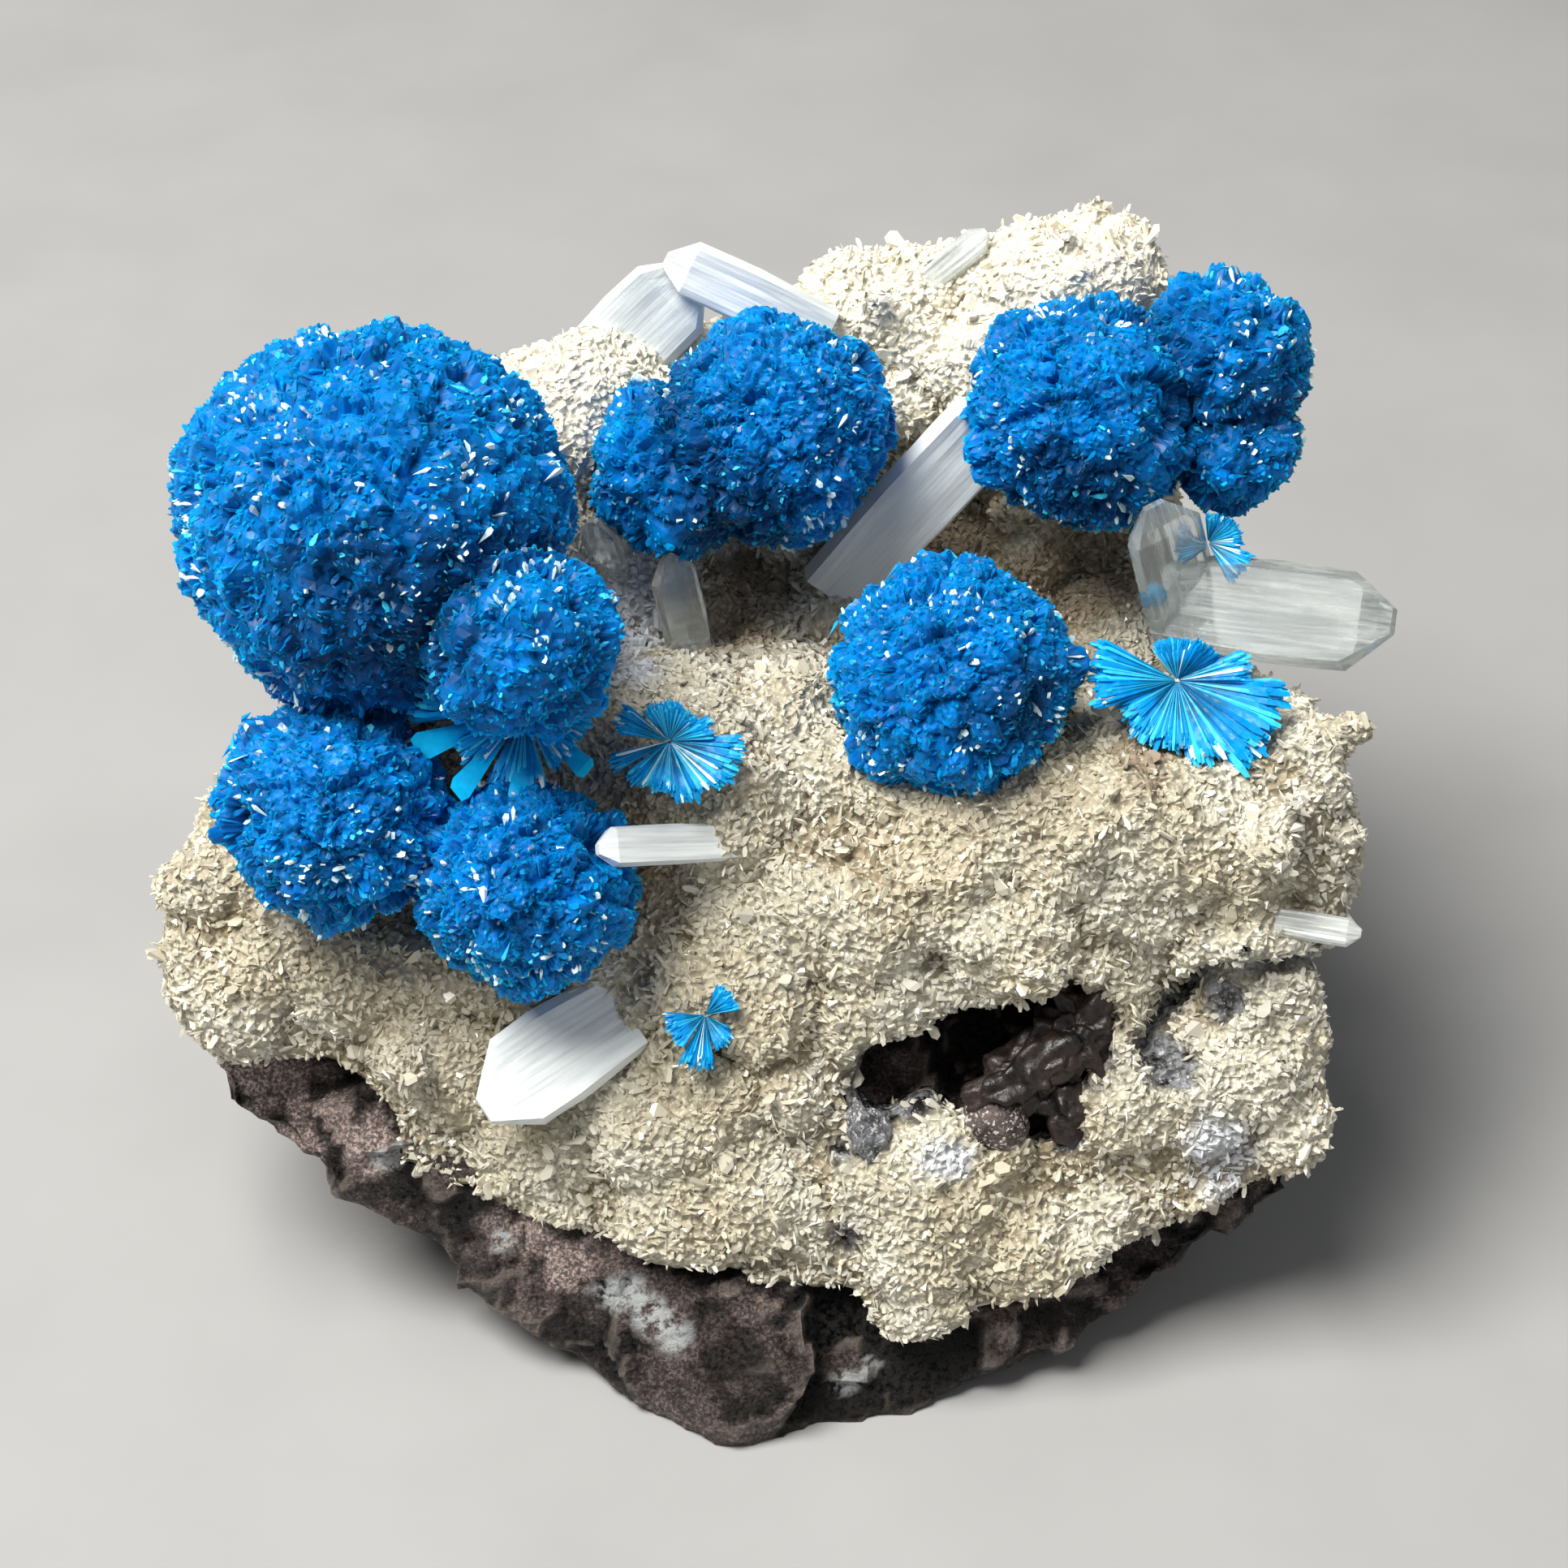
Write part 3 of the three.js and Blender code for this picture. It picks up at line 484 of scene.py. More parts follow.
def sphere_directions(count, rng):
    """count directions spread evenly over a sphere, a little out of order."""
    k = np.arange(count) + 0.5
    polar = np.arccos(1 - 2 * k / count)
    turn = math.pi * (1 + math.sqrt(5)) * k
    even = np.stack([np.cos(turn) * np.sin(polar), np.sin(turn) * np.sin(polar), np.cos(polar)], 1)
    return unit(even + rng.normal(0, 0.7 / math.sqrt(count), even.shape))


def tangents(directions, rng):
    return unit(np.cross(directions, rng.normal(size=directions.shape)))


# The basalt.

ROCK_VOXEL = 0.5
ROCK_SMOOTHING = 2
ROCK_ROUGHNESS = 0.18
ROCK_INSET = 0.2  # how far the rock's surface starts under the solid's
BASE_KEPT = 2.0  # height over the table in which the roughness fades out, so the base stays flat
# The broken plates of the rock, large and small.
PLATE_SPACINGS = (5.4, 2.2)
PLATE_STEPS = (0.9, 0.4)
PLATE_TILTS = (0.45, 0.2)
EDGE_SHARPNESS = 4  # how fast the edge value turns with how far a point stands out of its neighbours
# Patches of white crystals, and of painted light on the rock: u, v and radius.
SPOTS = [
    (-20.3, -19.3, 0.9), (-8.2, -25.9, 1.3), (-6.9, -27, 1.3), (-5.6, -28, 0.9), (0.6, -24.8, 0.7),
    (3.2, -30.4, 0.8), (4.3, -29.6, 0.5), (-14.5, -23.4, 0.7), (-19.4, -18.6, 0.7),
]
PAINTED_LIGHT_PATCHES = [
    (-29, -13, 2.4), (-26.5, -15, 2.4), (-24, -17, 2.4), (-21.5, -18.6, 2), (-13.5, -22.6, 2),
    (-11, -24.4, 1.6),
]


def build_basalt(material):
    rng = np.random.default_rng(8)
    mesh = remeshed("basalt_matrix", ROCK_VOXEL, ROCK_SMOOTHING)
    points, normals, _ = face_arrays(mesh)
    quads = quads_of(mesh)
    height = to_row(points)[:, 2] / MM
    kept = np.clip(height / BASE_KEPT, 0, 1)
    rough = ROCK_ROUGHNESS * fractal(points, 1.2, 9) - ROCK_INSET
    shades = []
    for spacing, step, tilt in zip(PLATE_SPACINGS, PLATE_STEPS, PLATE_TILTS):
        plate, slope = plates(points, spacing, rng)
        rough = rough + step * plate + tilt * slope
        shades.append(plate)
    points = points + normals * (rough * kept)[:, None]
    points = 0.5 * (points + neighbour_mean(points, quads))
    row = to_row(points)
    row[:, 2] = np.maximum(row[:, 2], 0)
    points = to_face(row)
    values = {
        "edge": edge_values(points, normals, quads),
        "plate": 0.5 + 0.25 * (shades[0] + shades[1]),
        "spot": patches(points, SPOTS) * (normals[:, 2] > 0),
        "painted_light": patches(points, PAINTED_LIGHT_PATCHES),
    }
    dress(new_object("basalt", points, [quads], material, values), "basalt", "basalt_matrix")


def neighbour_mean(points, quads):
    """The middle of each point's neighbours."""
    total = np.zeros_like(points)
    count = np.zeros(len(points))
    for a, b in ((0, 1), (1, 2), (2, 3), (3, 0)):
        np.add.at(total, quads[:, a], points[quads[:, b]])
        np.add.at(count, quads[:, a], 1)
    return total / np.maximum(count, 1)[:, None]


def edge_values(points, normals, quads):
    """From 0 in a hollow to 1 on a sharp edge, for each point."""
    proud = np.sum((points - neighbour_mean(points, quads)) * normals, axis=1)
    return np.clip(0.5 + EDGE_SHARPNESS * proud, 0, 1)


# Rock that stands up where the crust leaves it bare: centre, radii along u, v and n, turn in the
# face in degrees, and how lumpy and how beaded its surface is.
BOSSES = [
    ("boss_dark", "glaze", (14.7, -12.4, 0.1), (1.8, 2.3, 1.6), 12, 0.6, 0.14),
    ("boss_dark_low", "glaze", (12.2, -14.7, 0.0), (2.7, 1.7, 1.5), 22, 0.5, 0.12),
    ("boss_dark_tip", "glaze", (14.1, -16, -0.4), (1.1, 1.7, 1.1), 8, 0.5, 0.14),
    ("boss_dark_top", "glaze", (12.9, -10, 0.5), (1.6, 1.0, 0.9), -20, 0.6, 0.16),
    ("boss_grey", "grey", (4.1, -17.4, 0.4), (1.1, 1.5, 1.0), 0, 0.5, 0.2),
    ("boss_beaded", "brown", (10.6, -16.9, -0.1), (1.5, 1.4, 1.2), 0, 0.08, 0.16),
]


def build_bosses(materials):
    directions, triangles = round_mesh(5)
    for seed, (name, kind, centre, radii, turn, lumpy, beaded) in enumerate(BOSSES):
        place = directions * radii
        spot = place + 50 * seed
        swell = 1 + lumpy * fractal(spot, 1.3, seed) + 0.3 * lumpy * np.round(3 * noise(spot, 1.8, 7)) / 3
        swell = swell + beaded * (0.5 + 0.5 * noise(spot, 0.42, 13))
        turned = np.array(Matrix.Rotation(math.radians(turn), 3, "Z"))
        points = (place * swell[:, None]) @ turned.T + centre
        dress(new_object(name, points, [triangles], materials[kind], smooth=True), "basalt")


# The crust: its body, and the small crystals that cover it.

CRUST_VOXEL = 0.5
CRUST_SMOOTHING = 5
CRUST_INSET = 0.65  # how far its body lies under the solid's surface, to make room for the crystals
KNOB_COUNT = 280
KNOB_RADIUS = (1.2, 3.4)
KNOB_RISE = 0.5
COLLAR_RADIUS = 2.0  # of the knob round each blade's foot
# How uneven the body is: in fine, in broad, and in broad on bare rock.
CRUST_FINE = 0.12
CRUST_BROAD = 0.3
BARE_BROAD = 0.4
# Painted shade: the body is painted darker where its rise is under this.
DEEP_BELOW = 0.5  # rise under which the body counts as deep
# Patches of bare rock, of brown stain and painted shade, and of cool grey: u, v and radius.
BARE_PATCHES = [
    (4.4, -16.4, 1.9), (5.2, -13.6, 1.8), (19.1, -14, 1.8), (22.0, -11, 1.4), (10.6, -16.9, 1.5),
    (3.1, -22.6, 1.3), (14, -13.6, 3.2), (9, -13.6, 2.4), (14.2, -18, 0.9), (3, -18.3, 0.8),
    (6.4, -15.4, 1.8),
]
STAIN_AND_SHADE_PATCHES = [(9, 12.5, 4.5), (15, 10.5, 4.5), (-2.5, 9.4, 3.2), (17.6, 1.2, 1.8), (-7, -3.6, 2.4)]
COOL_PATCHES = [(22, -18.6, 2.4), (-9, 9, 4.5), (8, -18.8, 1.4)]
# Painted light: the crust is painted paler towards the crest, its highest part.
CREST_BELT = (12.0, 18.0)  # v over which the crust turns paler towards the crest
CRACKS = [[(18, -13), (18.4, -12.4), (20.4, -10.1), (21.5, -9.4), (24.6, -9), (27, -8.8)]]
CRACK_WIDTH = 0.6
CRACK_DEPTH = 1.4
DRUSE_CRYSTALS = 26000
DRUSE_PARTS = (-8.5, 3.5)  # v that parts the crystals' meshes
GRAIN_LENGTH = (0.0, 0.3)
GRAIN_WIDTH = (0.2, 0.5)
NEEDLE_SHARE = 0.26
NEEDLE_LENGTH = (0.2, 0.8)
NEEDLE_WIDTH = (0.14, 0.3)
NEEDLE_RISE = 0.3  # how upright the needles are, over the grains
LARGE_SHARE = 0.02
LARGE_LENGTH = (0.4, 1.1)
LARGE_WIDTH = (0.45, 0.9)
# Thickness over width of the large crystals, the needles and the grains.
DRUSE_THICKNESSES = ((0.2, 0.35), (0.3, 0.6), (0.4, 0.9))
# How much their heading takes from the surface's normal, from the way out of the knob and from chance.
DRUSE_UPRIGHT = 0.62
DRUSE_FANNED = 0.28
DRUSE_LOOSE = 0.5
DRUSE_ROOT = 0.5
UNDERSIDE = -0.35  # crystals grow where the outward part of the surface's normal is over this


def crack_depth(points):
    """1 along the cracks, 0 well beside them."""
    nearest = np.full(len(points), np.inf)
    for line in CRACKS:
        for a, b in zip(np.array(line[:-1]), np.array(line[1:])):
            along = np.clip((points[:, :2] - a) @ (b - a) / ((b - a) @ (b - a)), 0, 1)
            away = np.linalg.norm(points[:, :2] - a - along[:, None] * (b - a), axis=1)
            nearest = np.minimum(nearest, away)
    return np.clip(1.3 - nearest / CRACK_WIDTH, 0, 1)


def crest_share(points):
    """From 0 below the crest's belt to 1 above it: how much painted light the crust takes."""
    low, high = CREST_BELT
    return np.clip((points[:, 1] - low) / (high - low), 0, 1)


def build_crust(body_material, crystal_material):
    rng = np.random.default_rng(3)
    mesh = remeshed("stilbite_crust", CRUST_VOXEL, CRUST_SMOOTHING)
    points, normals, _ = face_arrays(mesh)
    quads = quads_of(mesh)
    outward = np.clip((normals[:, 2] + 0.2) / 0.5, 0, 1)
    chosen = rng.choice(len(points), KNOB_COUNT, replace=False, p=outward / outward.sum())
    rise = np.zeros(len(points))
    heart = points.copy()
    knobs = list(zip(points[chosen], rng.uniform(*KNOB_RADIUS, KNOB_COUNT)))
    feet = [np.array(member[0], float) for members in BLADES.values() for member in members]
    for knob, radius in knobs + [(foot, COLLAR_RADIUS) for foot in feet]:
        away = np.sum((points - knob) ** 2, axis=1) / radius**2
        lift = KNOB_RISE * radius * np.sqrt(np.clip(1 - away, 0, 1))
        higher = lift > rise
        rise[higher] = lift[higher]
        heart[higher] = knob
    bare, crack, stain_and_shade = patches(points, BARE_PATCHES), crack_depth(points), patches(points, STAIN_AND_SHADE_PATCHES)
    rough = CRUST_FINE * noise(points, 0.9, 4) + CRUST_BROAD * fractal(points, 3, 21)
    rough = rough + BARE_BROAD * bare * fractal(points, 1.3, 41)
    lift = rise * (1 - 0.7 * bare) + rough - CRUST_INSET - CRACK_DEPTH * crack - 0.1 * bare
    # Painted shade: darker between the knobs, and in the patches of stain and painted shade.
    deep = np.clip(1 - rise / DEEP_BELOW, 0, 1) * 0.7
    points = points + normals * (outward * lift)[:, None]
    values = {
        # Along the cracks the body takes the dark rock colour, which also paints the shadow under the
        # crack's lip.
        "bare": np.maximum(bare, crack),
        "deep": np.maximum(deep, 0.8 * stain_and_shade),
        "cool": patches(points, COOL_PATCHES),
        "crest": crest_share(points),
    }
    piece = new_object("crust_body", points, [quads], body_material, values, smooth=True)
    dress(piece, "druse", "stilbite_crust")
    grow_druse(piece.data, heart, crystal_material, rng)
    return piece


def grow_druse(mesh, heart, material, rng):
    """Small grains all over the crust and longer blades among them, that lean away from the middle of
    the knob they grow on."""
    points, normals, triangles = face_arrays(mesh)
    corners = points[triangles]
    cross = np.cross(corners[:, 1] - corners[:, 0], corners[:, 2] - corners[:, 0])
    middle = corners.mean(axis=1)
    facing = unit(normals[triangles].mean(axis=1))[:, 2]
    grown = (1 - 0.95 * patches(middle, BARE_PATCHES)) * (1 - crack_depth(middle))
    weight = np.linalg.norm(cross, axis=1) * grown * (facing > UNDERSIDE)
    chosen = rng.choice(len(triangles), DRUSE_CRYSTALS, p=weight / weight.sum())
    share = rng.dirichlet([1, 1, 1], DRUSE_CRYSTALS)
    root = np.einsum("ij,ijk->ik", share, corners[chosen])
    normal = unit(np.einsum("ij,ijk->ik", share, normals[triangles[chosen]]))
    away = root - heart[triangles[chosen, 0]]
    away = away - normal * np.sum(away * normal, axis=1, keepdims=True)
    kind = np.digitize(rng.random(DRUSE_CRYSTALS), (LARGE_SHARE, LARGE_SHARE + NEEDLE_SHARE))
    upright = DRUSE_UPRIGHT * np.where(kind == 1, NEEDLE_RISE, 1)[:, None]
    axis = unit(upright * normal + DRUSE_FANNED * away + rng.normal(0, DRUSE_LOOSE, root.shape))

    def pick(*ranges):
        """A random value for each crystal, from the range of its kind: large, needle or grain."""
        low, high = np.array(ranges)[kind].T
        return low + (high - low) * rng.random(DRUSE_CRYSTALS)

    length = pick(LARGE_LENGTH, NEEDLE_LENGTH, GRAIN_LENGTH)
    width = pick(LARGE_WIDTH, NEEDLE_WIDTH, GRAIN_WIDTH)
    thick = width * pick(*DRUSE_THICKNESSES)
    slant = rng.uniform(-0.5, 0.5, DRUSE_CRYSTALS)
    across = tangents(axis, rng)
    start, end = root - DRUSE_ROOT * axis, root + length[:, None] * axis
    tints = {
        "stain_and_shade": patches(root, STAIN_AND_SHADE_PATCHES),
        "cool": patches(root, COOL_PATCHES),
        "crest": crest_share(root),
    }
    belt = np.digitize(root[:, 1], DRUSE_PARTS)
    for k, name in enumerate(("druse_low", "druse_middle", "druse_high")):
        part = belt == k
        made, quads, tris = wedges(
            start[part], end[part], across[part], width[part], thick[part],
            shoulder=0.8, slant=slant[part], edge=0.6,
        )
        values = {label: np.repeat(tint[part], WEDGE_POINTS) for label, tint in tints.items()}
        dress(new_object(name, made, [quads, tris], material, values), "druse")


# Stilbite blades, as in the solids: root, tip, width, thickness and turn of the flat side.

BLADES = {
    "stilbite_roof": [
        ((-10.2, 21.2, -6.9), (-4.3, 26.3, -4.6), 5, 1.3, 18),
        ((1.8, 23.6, -5.6), (-6, 27, -3.6), 3.0, 1.6, -16),
    ],
    "stilbite_diagonal": [((3, 10.8, -8.8), (11.4, 19.4, -2.6), 4.4, 2.2, 20)],
    "stilbite_pair_right": [
        ((21.4, 6.2, -6), (18.6, 14, 1.4), 4.2, 1.4, 10),
        ((20, 9.5, -3.6), (30.1, 7.7, 2.2), 5.2, 2.4, 8),
    ],
    "stilbite_crest": [((7, 25.8, -7), (10.6, 28.6, -6.1), 1.6, 1.1, 0)],
    "stilbite_small_left": [((-2, -2.85, 1.8), (-9, -3.05, 6.5), 2.0, 1.3, 6)],
    "stilbite_tablet_low": [((-8.4, -11.6, 0.2), (-15, -15.9, 2.4), 5.2, 1.5, 0)],
    "stilbite_hollow_tall": [((-4.6, 6, -5), (-5.8, 11.6, -1.6), 2.8, 0.9, 30)],
    "stilbite_hollow_small": [((-8.6, 10, -7.4), (-9.6, 13.4, -2.4), 2.0, 1.0, -20)],
    "stilbite_rim_right": [((23.4, -6.6, 2.4), (28.2, -7.4, 4.2), 1.5, 0.9, 0)],
}
# How milky each blade is, from 0, clear, to 1.
MILK = {
    "stilbite_roof": 0.8, "stilbite_diagonal": 0.95, "stilbite_pair_right": 0.28, "stilbite_crest": 0.5,
    "stilbite_small_left": 0.9, "stilbite_tablet_low": 0.9, "stilbite_hollow_tall": 0.2,
    "stilbite_hollow_small": 0.2, "stilbite_rim_right": 0.5,
}
# How much further a blade goes into the crust than the solid, over its length.
BURIED = {"stilbite_small_left": 0.2}
BURIED_USUALLY = 0.06
# A blade's section, over half its width and half its thickness.
SECTION = np.array([(1, 0), (0.86, 1), (-0.8, 1), (-1, 0.1), (-0.84, -1), (0.8, -1)])
SHOULDER = 0.42  # how far below the tip the blade narrows, over its width
WIDEST = 0.45  # where it is widest, over its length
# Its width, thickness and sideways shift, over its own, at its root, widest, shoulder and tip.
WIDTHS = (0.86, 1.0, 0.97, 0.28)
THICKNESSES = (0.9, 1.0, 0.96, 0.3)
SHIFTS = (0, 0, 0.02, 0.12)
EDGE_PARTS = 8  # parts that each side of a blade's section is divided into
BLADE_RINGS = 24
GROOVE = 0.032  # how deep the grooves along a blade are, over its thickness
# Steps of the streaks' noise to the millimetre, so that the streaks run along the blade.
STREAK_LENGTHWISE = 0.25
STREAK_CROSSWISE = 6


def blade(root, tip, width, thick, turn, buried, seed):
    """(points, quads, caps, along, across) of one grooved blade."""
    root, tip = np.array(root, float), np.array(tip, float)
    span = tip - root
    length = np.linalg.norm(span)
    axis = span / length
    outward = np.array(Matrix.Rotation(math.radians(turn), 3, Vector(axis)) @ Vector((0, 0, 1)))
    across = unit(np.cross(outward, axis))
    flat = np.cross(axis, across)
    parts = np.arange(EDGE_PARTS)[:, None] / EDGE_PARTS
    section = np.concatenate([a + (b - a) * parts for a, b in zip(SECTION, np.roll(SECTION, -1, axis=0))])
    ring_count = len(section)
    shoulder = 1 - SHOULDER * width / length
    stops = [-buried, WIDEST, shoulder, 1.0]
    at = np.concatenate([np.linspace(-buried, shoulder, BLADE_RINGS), [0.5 * (shoulder + 1), 1.0]])
    wide, thin, shift = (np.interp(at, stops, share) for share in (WIDTHS, THICKNESSES, SHIFTS))
    x = section[None, :, 0] * wide[:, None] + shift[:, None]
    y = section[None, :, 1] * thin[:, None]
    along = np.repeat(at * length, ring_count)
    sides = np.tile(np.sign(section[:, 1]) * 5, len(at))
    key = np.stack([x.ravel() * width * 1.6, sides, along * 0.12], 1)
    groove = GROOVE * (noise(key, 0.5, seed) + 0.6 * noise(key, 0.22, seed + 1)).reshape(x.shape)
    y = y * (1 + np.abs(section[None, :, 1]) * (2 * groove - 0.04))
    lean = 0.02 * noise(np.stack([along, along * 0, sides], 1), 2.5, seed + 2).reshape(x.shape)
    points = (
        root
        + at[:, None, None] * span
        + ((x + lean) * width / 2)[:, :, None] * across
        + (y * thick / 2)[:, :, None] * flat
    )
    k = np.arange(ring_count)
    ring = np.stack([k, (k + 1) % ring_count, (k + 1) % ring_count + ring_count, k + ring_count], 1)
    quads = (ring[None] + ring_count * np.arange(len(at) - 1)[:, None, None]).reshape(-1, 4)
    caps = np.array([k[::-1], k + ring_count * (len(at) - 1)])
    return points.reshape(-1, 3), quads, caps, along, (x * width / 2).ravel()


def build_blades(material):
    for seed, (name, members) in enumerate(BLADES.items()):
        buried = BURIED.get(name, BURIED_USUALLY)
        parts = [blade(*member, buried, 10 * seed + i) for i, member in enumerate(members)]
        points, quads, caps, along, across = joined(parts)
        flat = np.ones(len(points))
        values = {
            "along": along * STREAK_LENGTHWISE,
            "across": across * STREAK_CROSSWISE,
            "shade": 3.7 * seed * flat,
            "milk": MILK[name] * flat,
        }
        piece = new_object(name + "_crystal", points, [quads, caps], material, values)
        dress(piece, "stilbite", name)


# Cavansite, as in the solids: round lobes (centre and radius), and open rosettes of fans (heading
# in the face, lift out of it, turn about the fan's own middle, spread, reach).

LOBES = {
    "cavansite_cluster_left": [(-20, 12.8, 4.6, 10), (-12.6, 6.7, 9.2, 4.9)],
    "cavansite_ball_top": [(-0.5, 18, -2.2, 6.1), (-5.3, 16.1, -3, 4.8)],
    "cavansite_twin_right": [(15.1, 18.8, -1.6, 6), (22.2, 21.5, -2, 4.7), (22.8, 17.1, -2.4, 3.5)],
    "cavansite_ball_centre": [(8.4, 5.2, 2.2, 6.3)],
    "cavansite_ball_lower_left": [(-21.8, -1.4, 4.5, 5.8)],
    "cavansite_ball_lower_middle": [(-12.6, -4.9, 4.2, 5.6)],
}
# Where a lobe stands out or falls back: lobe, heading in degrees, how much further it reaches and,
# where that isn't near the rim, how far the heading points out of the face.
CRESTS = {
    "cavansite_cluster_left": [
        (0, 128, 0.04), (0, 151, 0.05), (0, 170, 0.03), (0, 38, 0.05), (0, 5, 0.04), (0, 218, -0.05),
        (0, 100, -0.02), (1, 20, 0.05), (1, -40, 0.14),
    ],
    "cavansite_ball_top": [
        (0, 40, 0.05), (0, 0, 0.06), (0, 130, -0.05), (0, 270, -0.05), (1, 129, 0.13), (1, 261, 0.08),
    ],
    "cavansite_twin_right": [
        (0, 128, 0.1), (0, 72, 0.08), (0, 100, -0.06), (0, 208, 0.14), (0, 301, 0.1), (1, 140, -0.05),
        (1, 54, -0.05), (1, 24, 0.08), (1, 90, 0.03), (2, 17, -0.06), (2, 246, -0.06), (2, 330, 0.06),
    ],
    "cavansite_ball_centre": [
        (0, 227, 0.11), (0, 8, 0.09), (0, 45, -0.06), (0, 280, -0.05), (0, 154, 0.05), (0, 83, 0.03),
    ],
    "cavansite_ball_lower_left": [
        (0, 138, 0.15), (0, 172, 0.05), (0, 211, -0.05), (0, 264, 0.12), (0, 20, -0.03),
    ],
    "cavansite_ball_lower_middle": [
        (0, 263, 0.12), (0, 0, 0.06), (0, 41, -0.06), (0, 312, -0.06), (0, 180, 0.02),
        (0, 27, -0.26, 0.57),
    ],
}
CREST_SPREAD = 0.22  # radians
CREST_LIFT = 0.15  # how far a crest's heading points out of the face, where it doesn't say
# Painted shade near another lobe.
PAINTED_LOBE_SHADE_DEPTH = 3.0  # distance over which another lobe's shelter would go from none to all
ROSETTES = {
    "cavansite_rosette_right": (
        (19.4, 5.1, 2.6),
        [
            (176, 8, 20, 50, 4.8), (95, 16, -10, 62, 2.4), (48, 14, 30, 40, 2.6), (12, 10, -18, 24, 4),
            (-14, 10, -10, 28, 5.9), (-42, 16, 10, 32, 6.1), (-70, 16, 10, 28, 5),
            (-108, 16, 10, 52, 4), (-150, 12, 10, 34, 3.6), (-90, -60, 0, 60, 5),
        ],
    ),
    "cavansite_rosette_small": (
        (-5.6, 2.1, 4.4),
        [
            (202, 6, -14, 16, 3.4), (155, 12, 20, 30, 3.1), (118, 14, 0, 30, 2.2), (84, 14, 0, 32, 2.2),
            (50, 14, 20, 34, 2), (18, 12, -10, 28, 2.5), (-10, 8, -14, 24, 4.1), (-34, 10, -10, 22, 4),
            (-64, 12, 10, 34, 3.5), (-100, 14, 0, 30, 2.9), (-130, 12, -24, 28, 3),
            (-90, -75, 0, 60, 3),
        ],
    ),
    "cavansite_sprig": (
        (-3.9, -11.4, 2.6),
        [
            (38, 12, 0, 56, 1.9), (204, 14, 16, 58, 2.2), (-98, 10, -10, 36, 2.9), (-55, 10, 0, 34, 2),
            (-60, -20, 0, 60, 1.7),
        ],
    ),
    "cavansite_chip_back": (
        (21.4, 12.2, -1.4),
        [
            (-38, 10, 0, 44, 2.6), (16, 14, 10, 60, 1.9), (70, 20, 20, 50, 1.7), (180, -10, 0, 60, 2),
        ],
    ),
}
FAN_LAYERS = 2  # of blades on each side of a fan's middle one
FAN_BLADE = 1.7  # degrees of a fan to each of its blades
TOOTH_DEPTH = 0.1  # of the notches in a fan's rim, over its reach
SPRAY = (
    (-12.6, 3.6, 5),
    [
        (-96, 16, 10, 40, 4.2), (-140, 18, -20, 30, 4.4), (-46, 24, 20, 34, 3.8), (-14, 14, -10, 26, 3.7),
        (176, 24, 0, 14, 6.2), (150, 40, 10, 30, 4.6),
    ],
)
# A grain of it that shows through the upright blade: centre and radius.
DOT = ((18.7, 9.9, -3.0), 0.6)
# Single thick blades of the spray: root, tip, width and thickness.
RODS = [
    ((-13.6, 6.2, 4.8), (-19.2, 6.6, 5.6), 1.3, 0.7), ((-12.6, 3.6, 5), (-18.1, 3.4, 6), 0.9, 0.5),
    ((-12.6, 3.6, 5), (-17.8, 1.7, 6.4), 1.4, 0.5), ((-12.6, 3.6, 5), (-15.8, -0.5, 6.6), 1.2, 0.5),
    ((-12.6, 3.6, 5), (-12.7, -1, 6.6), 1.2, 0.4), ((-12.6, 3.6, 5), (-9.4, 0.6, 6.4), 1.1, 0.4),
]
# The lumps on a ball, large and small: the area of one, how wide the low strip round it is on its
# side, how deep that strip is, how much further out or in a lump may end, and how much it may tilt.
LUMPS = [(6.0, 0.7, 0.24, 0.22, 0.08), (1.5, 0.3, 0.2, 0.3, 0.14)]
BODY_SHARE = 0.955  # of the radius, out to the lumps' tops
BODY_GRAIN = 0.05  # how rough the body is between its blades
BODY_SPACING = 0.36  # widest that the body's points may be apart
BLADES_PER_AREA = 8.0  # to the square millimetre
BLADE_WIDTH = (0.13, 0.38)
BLADE_THICKNESS = (0.08, 0.22)
BLADE_REACH = (-0.08, 0.2)  # how far the blades stand out of the body
BLADE_ROOT = 1.1  # how deep they start under their tips
BLADE_SPREAD = 0.3  # how far they lean from straight out
BLADE_LOWEST = 0.3  # they start this high within the lumps
BLADE_CLEAR = 0.94  # of another lobe's radius, inside which there are none
SUNK_AT_MOST = 0.8  # how far under the crust's surface their tips may lie
CRUST_REACH = 6  # where the surface is further away than this, they may lie anywhere
# The "shade" of cyan flecks and of pale blades, both painted light, and their shares.
FLECK = 0.95
PAINTED_GLINT = 1.0
FLECKS_IN_BALL = 0.07
FLECKS_IN_ROSETTE = 0.3
PAINTED_GLINTS_IN_BALL = 0.26  # at most, where they gather
PAINTED_GLINTS_IN_ROSETTE = 0.05
PAINTED_GLINT_REACH = 0.1  # how much further the pale blades stand out
# How bright the blue is, from 0 to 1, which paints light and shade into it. A body: low down and what the
# tops of its lumps add. A blade: in another lobe's painted shade, and what the open, a lump's top and each
# millimetre that it stands out add.
BODY_TIP = 0.28
BODY_TIP_TOP = 0.34
BLADE_TIP = 0.34
BLADE_TIP_OPEN = 0.12
BLADE_TIP_TOP = 0.2
BLADE_TIP_PROUD = 0.2
ROSETTE_TIP = 0.54
# Where the balls are painted darker, as shade on their lower sides: u, v and radius.
PAINTED_SHADE_PATCHES = [(-19.4, 7.4, 5.6), (14.4, 13.8, 3.4), (-2.2, 12.8, 3.6), (11.2, 3.6, 2.8)]
PAINTED_SHADE_DEPTH = 0.36


